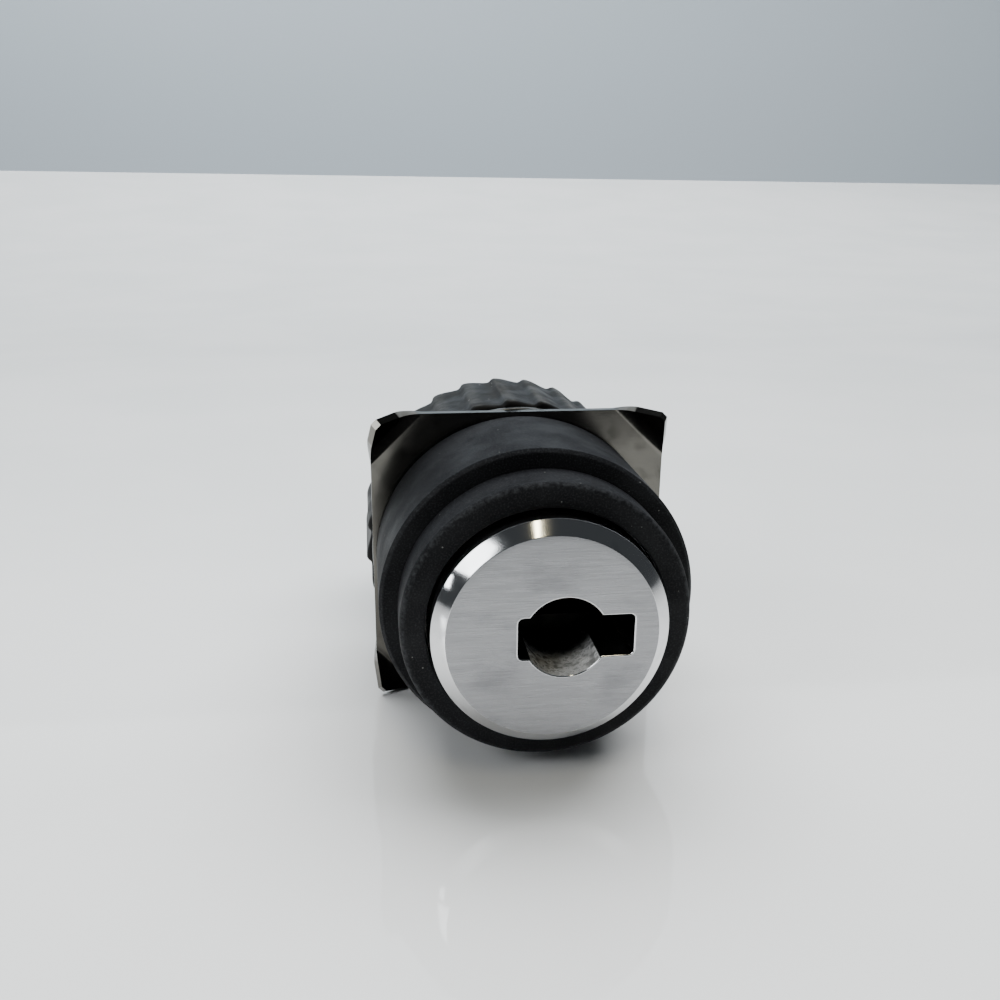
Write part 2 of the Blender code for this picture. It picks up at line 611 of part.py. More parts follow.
def disc_outline():
    """The cam disc's rim, with the notch that the stop runs in. Angles run clockwise from +Z."""
    floor = DISC_RADIUS - STOP_DEPTH
    margin = math.asin((STOP_WIDTH / 2 + GAP) / floor)
    start, end = -KEY_THROW - margin, margin
    points = []
    for radius, first, last, steps in ((floor, start, end, 12), (DISC_RADIUS, end, math.tau + start, 30)):
        for step in range(steps + 1):
            angle = first + (last - first) * step / steps
            points.append((radius * math.sin(angle), radius * math.cos(angle)))
    return points


def ramp(name, radius, plunger_angle):
    """A helical ramp that lifts one plunger evenly as the cam turns."""
    slope = PLUNGER_STROKE / KEY_THROW
    first = plunger_angle - KEY_THROW - RAMP_MARGIN
    last = plunger_angle + RAMP_MARGIN
    inner, outer = radius - RAMP_WIDTH / 2, radius + RAMP_WIDTH / 2
    root = DISC_BACK - RAMP_ROOT
    bm = bmesh.new()
    rings = []
    for step in range(RAMP_STEPS + 1):
        angle = first + (last - first) * step / RAMP_STEPS
        top = RAMP_REST + slope * (plunger_angle - angle)
        ring = []
        for reach, y in ((inner, root), (outer, root), (outer, top), (inner, top)):
            ring.append(bm.verts.new((reach * math.sin(angle), y, reach * math.cos(angle))))
        rings.append(ring)
    for near, far in zip(rings, rings[1:]):
        for corner in range(4):
            after = (corner + 1) % 4
            bm.faces.new((near[corner], near[after], far[after], far[corner]))
    bm.faces.new(rings[0])
    bm.faces.new(reversed(rings[-1]))
    return add_object(name, bm, None, on_rotor())


def drive_cam():
    """Cam with a square index hub in front and two helical ramps behind."""
    cam = prism("drive_cam", disc_outline(), DISC_FRONT, DISC_BACK, "white_plastic", on_rotor())
    half = HUB_SIDE / 2
    hub = box("hub_tool", (-half, half), (CAM_FRONT, DISC_FRONT + GAP), (-half, half),
              centre=on_rotor())
    left = ramp("left_ramp_tool", LEFT_RAMP_RADIUS, -math.pi / 2)
    right = ramp("right_ramp_tool", RIGHT_RAMP_RADIUS, math.pi / 2)
    join(cam, hub, left, right)
    slot = box("tongue_slot_cutter", (-TONGUE_WIDTH / 2 - GAP, TONGUE_WIDTH / 2 + GAP),
               (CAM_FRONT - GAP, TAIL_BACK + TONGUE_LENGTH + GAP),
               (-TONGUE_THICKNESS / 2 - GAP, TONGUE_THICKNESS / 2 + GAP), centre=on_rotor())
    cut(cam, slot)


def index_spring():
    """Hairpin leaf spring that grips the square hub and holds each key position."""
    inner = HUB_SIDE / 2 + GAP
    outer = inner + LEAF_THICKNESS
    tip = HUB_SIDE / 2 + GAP
    bend = -HUB_SIDE / 2
    steps = 10
    arc = [math.pi / 2 + math.pi * step / steps for step in range(steps + 1)]
    outline = [(tip, outer)]
    outline += [(bend + outer * math.cos(angle), outer * math.sin(angle)) for angle in arc]
    outline += [(tip, -outer), (tip, -inner)]
    outline += [(bend + inner * math.cos(angle), inner * math.sin(angle)) for angle in reversed(arc)]
    outline += [(tip, inner)]
    middle = (CAM_FRONT + DISC_FRONT) / 2
    prism("index_spring", outline, middle - LEAF_WIDTH / 2, middle + LEAF_WIDTH / 2, "spring_steel",
          on_rotor())


# ---------------------------------------------------------------- panel clamp

def folded(point, corner):
    """Front and back surface points of the sheet, with its corner folded forward."""
    outward = Vector((corner[0], 0, corner[1])).normalized()
    flat = Vector((point[0], PLATE_FRONT, point[1]))
    line = (PLATE_SIDE - CORNER_LEG) / math.sqrt(2)
    reach = flat.dot(outward) - line
    angle = min(max(reach / FOLD_RADIUS, 0.0), CORNER_FOLD)
    straight = max(reach - FOLD_RADIUS * CORNER_FOLD, 0.0)
    along = FOLD_RADIUS * math.sin(angle) + straight * math.cos(angle)
    forward = FOLD_RADIUS * (1 - math.cos(angle)) + straight * math.sin(angle)
    front = flat + outward * (along - max(reach, 0.0)) - Vector((0, forward, 0))
    normal = outward * math.sin(angle) + Vector((0, math.cos(angle), 0))
    return front, front + normal * PLATE_THICKNESS


def square_plate():
    """Square clamping plate of sheet steel, its corners folded forward to bite the panel."""
    half = PLATE_SIDE / 2
    root = math.sqrt(2)
    tip = (CORNER_LEG - CORNER_CUT) / root
    levels = [0.0, FOLD_RADIUS * CORNER_FOLD / 2, FOLD_RADIUS * CORNER_FOLD, tip]
    bm = bmesh.new()
    fronts, backs, rim = [], [], []
    for sx, sz in ((1, 1), (1, -1), (-1, -1), (-1, 1)):
        first_side, second_side = [], []
        for level in levels:
            short = half - CORNER_LEG + level * root
            pair = [(sx * short, sz * half), (sx * half, sz * short)]
            if sx * sz < 0:
                pair.reverse()
            for point, side in zip(pair, (first_side, second_side)):
                front, back = folded(point, (sx, sz))
                side.append((bm.verts.new(front), bm.verts.new(back)))
        for side_a, side_b in zip(zip(first_side, first_side[1:]), zip(second_side, second_side[1:])):
            (a0, a1), (b0, b1) = side_a, side_b
            bm.faces.new((a0[0], b0[0], b1[0], a1[0]))
            bm.faces.new((a0[1], a1[1], b1[1], b0[1]))
        fronts += [first_side[0][0], second_side[0][0]]
        backs += [first_side[0][1], second_side[0][1]]
        rim += first_side + second_side[::-1]
    bm.faces.new(fronts)
    bm.faces.new(backs[::-1])
    for near, far in zip(rim, rim[1:] + rim[:1]):
        bm.faces.new((near[0], far[0], far[1], near[1]))
    plate = add_object("square_plate", bm, "sheet_steel")
    depth = (PLATE_FRONT - GAP, PLATE_BACK + GAP)
    bore = rod("plate_bore_cutter", CLAMP_BORE, depth, segments=SEGMENTS)
    cut(plate, bore)
    tooth_half = KEYSLOT_WIDTH / 2 - GAP
    tooth = box("plate_tooth_tool", (-tooth_half, tooth_half), (PLATE_FRONT, PLATE_BACK),
                (THREAD_ROOT + TOOTH_PLAY, CLAMP_BORE + TOOTH_RUN))
    join(plate, tooth)


def lock_washer():
    """Plain washer between the plate and the nut."""
    back = WASHER_FRONT + WASHER_THICKNESS
    profile = [(CLAMP_BORE, WASHER_FRONT), (WASHER_RADIUS, WASHER_FRONT),
               (WASHER_RADIUS, back), (CLAMP_BORE, back)]
    turned("lock_washer", profile, "sheet_steel")


def flute(share):
    """Height of one flute across its pitch: a quick rise, a rounded crest and a long fall."""
    if share < FLUTE_RISE:
        return 0.5 - 0.5 * math.cos(math.pi * share / FLUTE_RISE)
    return 0.5 + 0.5 * math.cos(math.pi * (share - FLUTE_RISE) / (1 - FLUTE_RISE))


def ring_nut():
    """Fluted ring nut that clamps the plate against the panel."""
    count = FLUTES * FLUTE_POINTS
    back = NUT_FRONT + NUT_LENGTH
    rows = [(NUT_CHAMFER, NUT_FRONT), (0, NUT_FRONT + NUT_CHAMFER),
            (0, back - NUT_CHAMFER), (NUT_CHAMFER, back)]
    bm = bmesh.new()
    rings = []
    for inset, y in rows:
        ring = []
        for index in range(count):
            angle = math.tau * index / count
            lift = flute(index % FLUTE_POINTS / FLUTE_POINTS)
            radius = NUT_RADIUS - FLUTE_DEPTH * (1 - lift) - inset
            ring.append(bm.verts.new((radius * math.sin(angle), y, radius * math.cos(angle))))
        rings.append(ring)
    for y in (back, NUT_FRONT):
        ring = []
        for index in range(count):
            angle = math.tau * index / count
            ring.append(bm.verts.new((CLAMP_BORE * math.sin(angle), y, CLAMP_BORE * math.cos(angle))))
        rings.append(ring)
    for near, far in zip(rings, rings[1:] + rings[:1]):
        for index in range(count):
            after = (index + 1) % count
            bm.faces.new((near[index], near[after], far[after], far[index]))
    add_object("ring_nut", bm, "grey_plastic")


# ---------------------------------------------------------------- contact block

def sides():
    """Left and right contact positions with the name of what each does."""
    return ((-PLUNGER_SPACING / 2, "nc"), (PLUNGER_SPACING / 2, "no"))


def block_outline():
    """The contact block's outline, with rounded corners."""
    points = []
    for quarter in range(4):
        middle = (quarter + 0.5) * math.pi / 2
        x = math.copysign(BLOCK_WIDTH / 2 - BLOCK_CORNER, math.cos(middle))
        z = math.copysign(BLOCK_HEIGHT / 2 - BLOCK_CORNER, math.sin(middle))
        for step in range(CORNER_STEPS + 1):
            angle = (quarter + step / CORNER_STEPS) * math.pi / 2
            points.append((x + BLOCK_CORNER * math.cos(angle), z + BLOCK_CORNER * math.sin(angle)))
    return points


def block_housing():
    """Contact block case with two chambers and a tubular spigot that plugs into the shank."""
    half_height = BLOCK_HEIGHT / 2
    case = prism("block_housing", block_outline(), BLOCK_FRONT, BLOCK_BACK, "grey_plastic")
    bore_back = BLOCK_FRONT - BLOCK_EDGE_WALL
    profile = [
        (SPIGOT_RADIUS - SPIGOT_WALL, SPIGOT_FRONT),
        (SPIGOT_RADIUS, SPIGOT_FRONT),
        (SPIGOT_RADIUS, BLOCK_FRONT),
        (SPIGOT_RADIUS + NECK_REACH, BLOCK_FRONT),
        (SPIGOT_RADIUS + NECK_REACH, BLOCK_FRONT + NECK_THICKNESS),
        (0, BLOCK_FRONT + NECK_THICKNESS),
        (0, bore_back),
        (SPIGOT_RADIUS - SPIGOT_WALL, bore_back),
    ]
    spigot = turned("spigot_tool", profile)
    join(case, spigot)
    for x, name in sides():
        chamber = box(f"chamber_{name}_cutter", (x - CHAMBER_WIDTH / 2, x + CHAMBER_WIDTH / 2),
                      (CHAMBER_FRONT, BLOCK_BACK + GAP),
                      (-half_height + BLOCK_EDGE_WALL, half_height - BLOCK_EDGE_WALL))
        guide = rod(f"guide_{name}_cutter", PLUNGER_RADIUS + GAP,
                    (bore_back - GAP, CHAMBER_FRONT + GAP), (x, 0, 0))
        place = math.copysign(SCREW_PLACE, x)
        screw_bore = rod(f"screw_bore_{name}_cutter", SCREW_RADIUS + GAP,
                         (BLOCK_BACK - SCREW_BITE - GAP, BLOCK_BACK + GAP), (place, 0, 0))
        cut(case, chamber, guide, screw_bore)
    dimple = rod("dimple_cutter", SCREW_RADIUS + GAP, (-SPIGOT_RADIUS - GAP, SPIGOT_RADIUS + GAP))
    dimple.rotation_euler = (0, 0, math.pi / 2)
    dimple.location = (0, GRUB_PLACE, 0)
    cut(case, dimple)


def block_cover():
    """Rear cover of the contact block, slotted for the tabs."""
    cover = prism("block_cover", block_outline(), COVER_FRONT, COVER_BACK, "grey_plastic")
    depth = (COVER_FRONT - GAP, COVER_BACK + GAP)
    half_slot = STRIP_WIDTH / 2 + GAP
    for x, name in sides():
        for up in (1, -1):
            rows = sorted((up * (STRIP_OUTER - STRIP_THICKNESS - GAP), up * (STRIP_OUTER + GAP)))
            level = "upper" if up > 0 else "lower"
            cut(cover, box(f"tab_slot_{name}_{level}_cutter", (x - half_slot, x + half_slot),
                           depth, rows))
        place = math.copysign(SCREW_PLACE, x)
        cut(cover, rod(f"cover_bore_{name}_cutter", SCREW_RADIUS + GAP, depth, (place, 0, 0)))


def plungers():
    """Cam followers that carry the contact bridges, with their bridges and return springs."""
    rear_end = BRIDGE_BACK + PLUNGER_TAIL
    shoulder_back = SHOULDER_FRONT + STRIP_THICKNESS
    for x, name in sides():
        profile = [
            (0, PLUNGER_FRONT), (PLUNGER_TIP, PLUNGER_FRONT),
            (PLUNGER_RADIUS, PLUNGER_FRONT + PLUNGER_CONE), (PLUNGER_RADIUS, SHOULDER_FRONT),
            (PLUNGER_SHOULDER, SHOULDER_FRONT), (PLUNGER_SHOULDER, shoulder_back),
            (PLUNGER_STEM, shoulder_back), (PLUNGER_STEM, rear_end), (0, rear_end),
        ]
        turned(f"plunger_{name}", profile, "white_plastic", (x, 0, 0), 20)
        bridge = box(f"bridge_{name}", (-BRIDGE_WIDTH / 2, BRIDGE_WIDTH / 2), (BRIDGE_FRONT, BRIDGE_BACK),
                     (-BRIDGE_LENGTH / 2, BRIDGE_LENGTH / 2), "silver", (x, 0, 0))
        hole = rod(f"bridge_hole_{name}_cutter", PLUNGER_STEM + GAP,
                   (BRIDGE_FRONT - GAP, BRIDGE_BACK + GAP), (x, 0, 0), 16)
        cut(bridge, hole)
        coil(f"return_spring_{name}", (x, BRIDGE_BACK + GAP, 0), (x, COVER_FRONT - GAP, 0),
             RETURN_SPRING_RADIUS, RETURN_WIRE, 6, 10, "spring_steel")


def fixed_contacts():
    """Four contact strips, each bent from its contact foot into a tab behind the cover."""
    foot_end = BRIDGE_LENGTH / 2 - CONTACT_LAP
    closed_foot = SHOULDER_FRONT
    open_foot = BRIDGE_BACK + PLUNGER_STROKE + GAP
    inner = STRIP_OUTER - STRIP_THICKNESS
    for (x, name), foot in zip(sides(), (closed_foot, open_foot)):
        for up, level in ((1, "upper"), (-1, "lower")):
            outline = [
                (foot, foot_end), (foot, STRIP_OUTER), (TAB_BACK - TAB_POINT, STRIP_OUTER),
                (TAB_BACK, STRIP_OUTER - TAB_BEVEL), (TAB_BACK, inner + TAB_BEVEL),
                (TAB_BACK - TAB_POINT, inner), (foot + STRIP_THICKNESS, inner),
                (foot + STRIP_THICKNESS, foot_end),
            ]
            bm = bmesh.new()
            face = bm.faces.new([bm.verts.new((x - STRIP_WIDTH / 2, y, up * z)) for y, z in outline])
            grown = bmesh.ops.extrude_face_region(bm, geom=[face])["geom"]
            moved = [item for item in grown if isinstance(item, bmesh.types.BMVert)]
            bmesh.ops.translate(bm, verts=moved, vec=(STRIP_WIDTH, 0, 0))
            add_object(f"contact_{name}_{level}", bm, "tinned_brass")


def screws():
    """Two cover screws and the two grub screws that hold the block in the shank."""
    head_front = COVER_BACK + GAP
    head_back = head_front + SCREW_HEAD_HEIGHT
    for side, name in ((-1, "left"), (1, "right")):
        profile = [
            (0, BLOCK_BACK - SCREW_BITE), (SCREW_RADIUS, BLOCK_BACK - SCREW_BITE),
            (SCREW_RADIUS, head_front), (SCREW_HEAD_RADIUS, head_front),
            (SCREW_HEAD_RADIUS, head_back - GAP), (SCREW_HEAD_RADIUS - GAP, head_back), (0, head_back),
        ]
        screw = turned(f"cover_screw_{name}", profile, "screw_steel", (side * SCREW_PLACE, 0, 0), 20)
        slot = box(f"cover_screw_{name}_slot_cutter",
                   (-SCREW_HEAD_RADIUS - GAP, SCREW_HEAD_RADIUS + GAP),
                   (head_back - SCREW_HEAD_HEIGHT / 2, head_back + GAP),
                   (-DRIVER_SLOT / 2, DRIVER_SLOT / 2), centre=(side * SCREW_PLACE, 0, 0))
        cut(screw, slot)
        inner, outer = SPIGOT_RADIUS - SPIGOT_WALL + GAP, THREAD_ROOT - KEYSLOT_DEPTH
        profile = [(0, inner), (SCREW_RADIUS, inner), (SCREW_RADIUS, outer), (0, outer)]
        grub = turned(f"grub_screw_{name}", profile, "screw_steel", (0, GRUB_PLACE, 0), 16)
        grub_slot = box(f"grub_screw_{name}_slot_cutter", (-SCREW_RADIUS - GAP, SCREW_RADIUS + GAP),
                        (outer - GRUB_SLOT_DEPTH, outer + GAP),
                        (-DRIVER_SLOT / 2, DRIVER_SLOT / 2), centre=(0, GRUB_PLACE, 0))
        for item in (grub, grub_slot):
            item.rotation_euler = (0, 0, -side * math.pi / 2)
        cut(grub, grub_slot)


def main():
    clear_scene()
    bezel_body()
    guard_ring()
    panel_gasket()
    lock_cap()
    face_seal()
    lock_barrel()
    lock_rotor()
    wafers()
    rotor_clip()
    drive_cam()
    index_spring()
    square_plate()
    lock_washer()
    ring_nut()
    block_housing()
    block_cover()
    plungers()
    fixed_contacts()
    screws()


main()
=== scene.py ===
"""Looks of the panel key selector: its visible pieces in full detail, its finishes and the studio."""

import json
import logging
import math
from collections.abc import Callable, Iterable, Sequence
from dataclasses import dataclass, replace
from enum import Enum, IntEnum

import bpy
from mathutils import Matrix, Vector

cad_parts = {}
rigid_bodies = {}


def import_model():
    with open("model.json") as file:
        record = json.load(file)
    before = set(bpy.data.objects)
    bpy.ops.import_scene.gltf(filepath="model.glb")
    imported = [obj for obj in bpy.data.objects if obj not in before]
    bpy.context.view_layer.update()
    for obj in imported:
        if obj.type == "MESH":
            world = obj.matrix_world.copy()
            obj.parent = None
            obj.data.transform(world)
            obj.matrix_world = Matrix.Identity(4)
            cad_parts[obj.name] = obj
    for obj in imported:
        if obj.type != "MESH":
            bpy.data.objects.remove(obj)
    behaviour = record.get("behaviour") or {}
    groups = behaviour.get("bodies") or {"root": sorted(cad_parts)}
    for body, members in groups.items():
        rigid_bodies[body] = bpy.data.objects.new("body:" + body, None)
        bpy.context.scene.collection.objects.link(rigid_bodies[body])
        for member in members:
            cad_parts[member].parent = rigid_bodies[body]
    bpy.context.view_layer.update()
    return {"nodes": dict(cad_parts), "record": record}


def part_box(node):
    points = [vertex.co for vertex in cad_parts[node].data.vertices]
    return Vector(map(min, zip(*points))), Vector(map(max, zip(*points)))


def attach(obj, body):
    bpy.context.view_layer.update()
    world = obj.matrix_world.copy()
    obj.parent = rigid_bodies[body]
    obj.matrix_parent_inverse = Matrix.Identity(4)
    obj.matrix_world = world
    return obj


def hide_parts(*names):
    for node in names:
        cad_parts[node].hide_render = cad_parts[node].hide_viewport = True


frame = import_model()

LOG = logging.getLogger("key_selector")
MM = 0.001
FACETS = 144
SMOOTH_ANGLE = math.radians(38)
WELD = 0.0005 * MM
PARALLEL = 0.999
NOISE_MIDDLE = (0.3, 0.7)

Point = tuple[float, float]
Place = tuple[float, float, float]
Colour = tuple[float, float, float]


class Body(Enum):
    """The moving bodies that pieces ride on."""

    HOUSING = "housing"
    CLAMP = "clamp"
    NUT = "nut"


class Slot(Enum):
    """The record's material slots."""

    BLACK_PLASTIC = "black_plastic"
    CHROME = "chrome"
    ZINC = "zinc"
    BRASS = "brass"
    SHEET_STEEL = "sheet_steel"
    SPRING_STEEL = "spring_steel"
    RUBBER = "rubber"
    WHITE_PLASTIC = "white_plastic"
    GREY_PLASTIC = "grey_plastic"
    SILVER = "silver"
    TINNED_BRASS = "tinned_brass"
    SCREW_STEEL = "screw_steel"


class Cut(Enum):
    """How one shape changes another."""

    AWAY = "DIFFERENCE"
    JOINED = "UNION"


class Kind(Enum):
    """What edit mode picks."""

    POINTS = "VERT"
    EDGES = "EDGE"
    FACES = "FACE"


class CapFinish(IntEnum):
    """The cap's finishes, by the number of their material slot."""

    CHROME = 0
    FACE = 1
    # The keyhole's lower wall takes a painted lit copy of the wall finish and its other walls a painted
    # shade copy.
    KEYHOLE_WALL = 2
    KEYHOLE_DARK = 3


def deselect() -> None:
    """Leaves object mode with nothing selected."""
    if bpy.context.object and bpy.context.object.mode != "OBJECT":
        bpy.ops.object.mode_set(mode="OBJECT")
    for item in bpy.context.view_layer.objects:
        item.select_set(False)


def take(piece: bpy.types.Object) -> None:
    """Makes a piece the only selected and active one."""
    deselect()
    piece.select_set(True)
    bpy.context.view_layer.objects.active = piece


def edit(piece: bpy.types.Object, kind: Kind | None = None, chosen: bool = True) -> None:
    """Takes a piece into edit mode.

    Args:
        piece: the piece.
        kind: what is picked from then on, or None to leave that as it was.
        chosen: whether everything starts selected, or nothing.
    """
    take(piece)
    bpy.ops.object.mode_set(mode="EDIT")
    if kind:
        bpy.ops.mesh.select_mode(type=kind.value)
    bpy.ops.mesh.select_all(action="SELECT" if chosen else "DESELECT")


def leave() -> None:
    """Goes back to object mode."""
    bpy.ops.object.mode_set(mode="OBJECT")


def settle(name: str) -> bpy.types.Object:
    """Names the primitive just added and writes its place into its mesh.

    Args:
        name: the piece's name.

    Returns:
        The primitive, at the origin, unturned and unscaled.
    """
    piece = bpy.context.object
    piece.name = piece.data.name = name
    bpy.ops.object.transform_apply(location=True, rotation=True, scale=True)
    return piece


def pick(piece: bpy.types.Object, wanted: Callable[[int, Vector], bool]) -> None:
    """Selects a piece's vertices in edit mode by their number and place.

    Args:
        piece: the piece to work on.
        wanted: says for a vertex's number and place whether it is selected.
    """
    edit(piece, Kind.POINTS, chosen=False)
    leave()
    for vertex in piece.data.vertices:
        vertex.select = wanted(vertex.index, vertex.co)
    bpy.ops.object.mode_set(mode="EDIT")


def close_up(piece: bpy.types.Object) -> bpy.types.Object:
    """Merges doubles, turns every face outwards and leaves edit mode."""
    edit(piece)
    bpy.ops.mesh.remove_doubles(threshold=WELD)
    bpy.ops.mesh.normals_make_consistent(inside=False)
    leave()
    return piece


def turn(
    name: str,
    profile: Sequence[Point],
    centre: Point = (0.0, 0.0),
    facets: int = FACETS,
    bored: bool = False,
) -> bpy.types.Object:
    """Draws a ring out along Y through a profile, as a turned piece.

    Args:
        name: the piece's name.
        profile: (radius, y) points in order.
        centre: x and z of the axis.
        facets: sides round the piece.
        bored: whether the profile closes on itself round an open bore.

    Returns:
        The turned piece.
    """
    deselect()
    radius, place = profile[0]
    bpy.ops.mesh.primitive_circle_add(
        vertices=facets,
        radius=radius,
        fill_type="NOTHING" if bored else "NGON",
        location=(centre[0], place, centre[1]),
        rotation=(math.pi / 2, 0.0, 0.0),
    )
    piece = settle(name)
    edit(piece, Kind.EDGES if bored else Kind.FACES)
    for next_radius, next_place in profile[1:]:
        bpy.ops.mesh.extrude_region_move(
            TRANSFORM_OT_translate={"value": (0.0, next_place - place, 0.0)}
        )
        ratio = next_radius / radius
        bpy.ops.transform.resize(
            value=(ratio, 1.0, ratio), center_override=(centre[0], next_place, centre[1])
        )
        radius, place = next_radius, next_place
    if bored:
        bpy.ops.mesh.select_all(action="DESELECT")
        bpy.ops.mesh.select_non_manifold(extend=False, use_wire=False, use_multi_face=False,
                                         use_non_contiguous=False, use_verts=False)
        bpy.ops.mesh.bridge_edge_loops()
    return close_up(piece)


def block(name: str, low: Sequence[float], high: Sequence[float]) -> bpy.types.Object:
    """Adds a block between two corners, to be shaped further or used as a cutter.

    Args:
        name: the block's name.
        low: its lowest corner.
        high: its highest corner.

    Returns:
        The block.
    """
    deselect()
    middle = [(a + b) / 2 for a, b in zip(low, high)]
    size = [b - a for a, b in zip(low, high)]
    bpy.ops.mesh.primitive_cube_add(size=1.0, location=middle, scale=size)
    return settle(name)


def soften(piece: bpy.types.Object, width: float, steps: int = 3, angle: float = 40.0) -> None:
    """Rounds a piece's edges and applies the rounding.

    Args:
        piece: the piece.
        width: width of the rounding.
        steps: faces across it.
        angle: edges sharper than this, in degrees, are rounded.
    """
    take(piece)
    step = piece.modifiers.new("rounding", "BEVEL")
    step.width = width
    step.segments = steps
    step.limit_method = "ANGLE"
    step.angle_limit = math.radians(angle)
    step.use_clamp_overlap = True
    step.miter_outer = "MITER_ARC"
    bpy.ops.object.modifier_apply(modifier=step.name)


def soften_along_y(piece: bpy.types.Object, width: float, steps: int = 4) -> None:
    """Rounds only the edges that run along Y.

    Args:
        piece: the piece.
        width: width of the rounding.
        steps: faces across it.
    """
    edit(piece, Kind.EDGES, chosen=False)
    leave()
    points = piece.data.vertices
    for edge in piece.data.edges:
        run = points[edge.vertices[1]].co - points[edge.vertices[0]].co
        edge.select = abs(run.y) > PARALLEL * run.length
    bpy.ops.object.mode_set(mode="EDIT")
    bpy.ops.mesh.bevel(offset=width, segments=steps, affect="EDGES")
    leave()


def work(piece: bpy.types.Object, tool: bpy.types.Object, how: Cut = Cut.AWAY) -> None:
    """Cuts a tool's shape away from a piece, or joins it on, and throws the tool away.

    Args:
        piece: the piece to change.
        tool: the closed shape to change it with.
        how: cut away or joined.
    """
    take(piece)
    step = piece.modifiers.new(tool.name, "BOOLEAN")
    step.operation = how.value
    step.solver = "EXACT"
    step.object = tool
    bpy.ops.object.modifier_apply(modifier=step.name)
    bpy.data.objects.remove(tool)


def rounded(corners: Sequence[tuple[float, float, float]], steps: int = 5) -> list[Point]:
    """Rounds the corners of a profile with arcs.

    Args:
        corners: (radius, y, rounding) of each corner of an open profile.
        steps: straight runs in each arc.

    Returns:
        The profile's points.
    """
    points: list[Point] = []
    for index, (radius, place, rounding) in enumerate(corners):
        here = Vector((radius, place))
        if rounding == 0 or index in (0, len(corners) - 1):
            points.append((radius, place))
            continue
        before = (Vector(corners[index - 1][:2]) - here).normalized()
        after = (Vector(corners[index + 1][:2]) - here).normalized()
        half = before.angle(after) / 2
        reach = rounding / math.tan(half)
        centre = here + (before + after).normalized() * (rounding / math.sin(half))
        start, end = here + before * reach - centre, here + after * reach - centre
        for step in range(steps + 1):
            points.append(tuple(centre + start.slerp(end, step / steps) * rounding))
    return points


def smooth(piece: bpy.types.Object) -> None:
    """Shades a piece smooth between its sharp edges, with flats kept flat."""
    take(piece)
    bpy.ops.object.shade_smooth_by_angle(angle=SMOOTH_ANGLE)
    step = piece.modifiers.new("flats", "WEIGHTED_NORMAL")
    step.keep_sharp = True
    bpy.ops.object.modifier_apply(modifier=step.name)


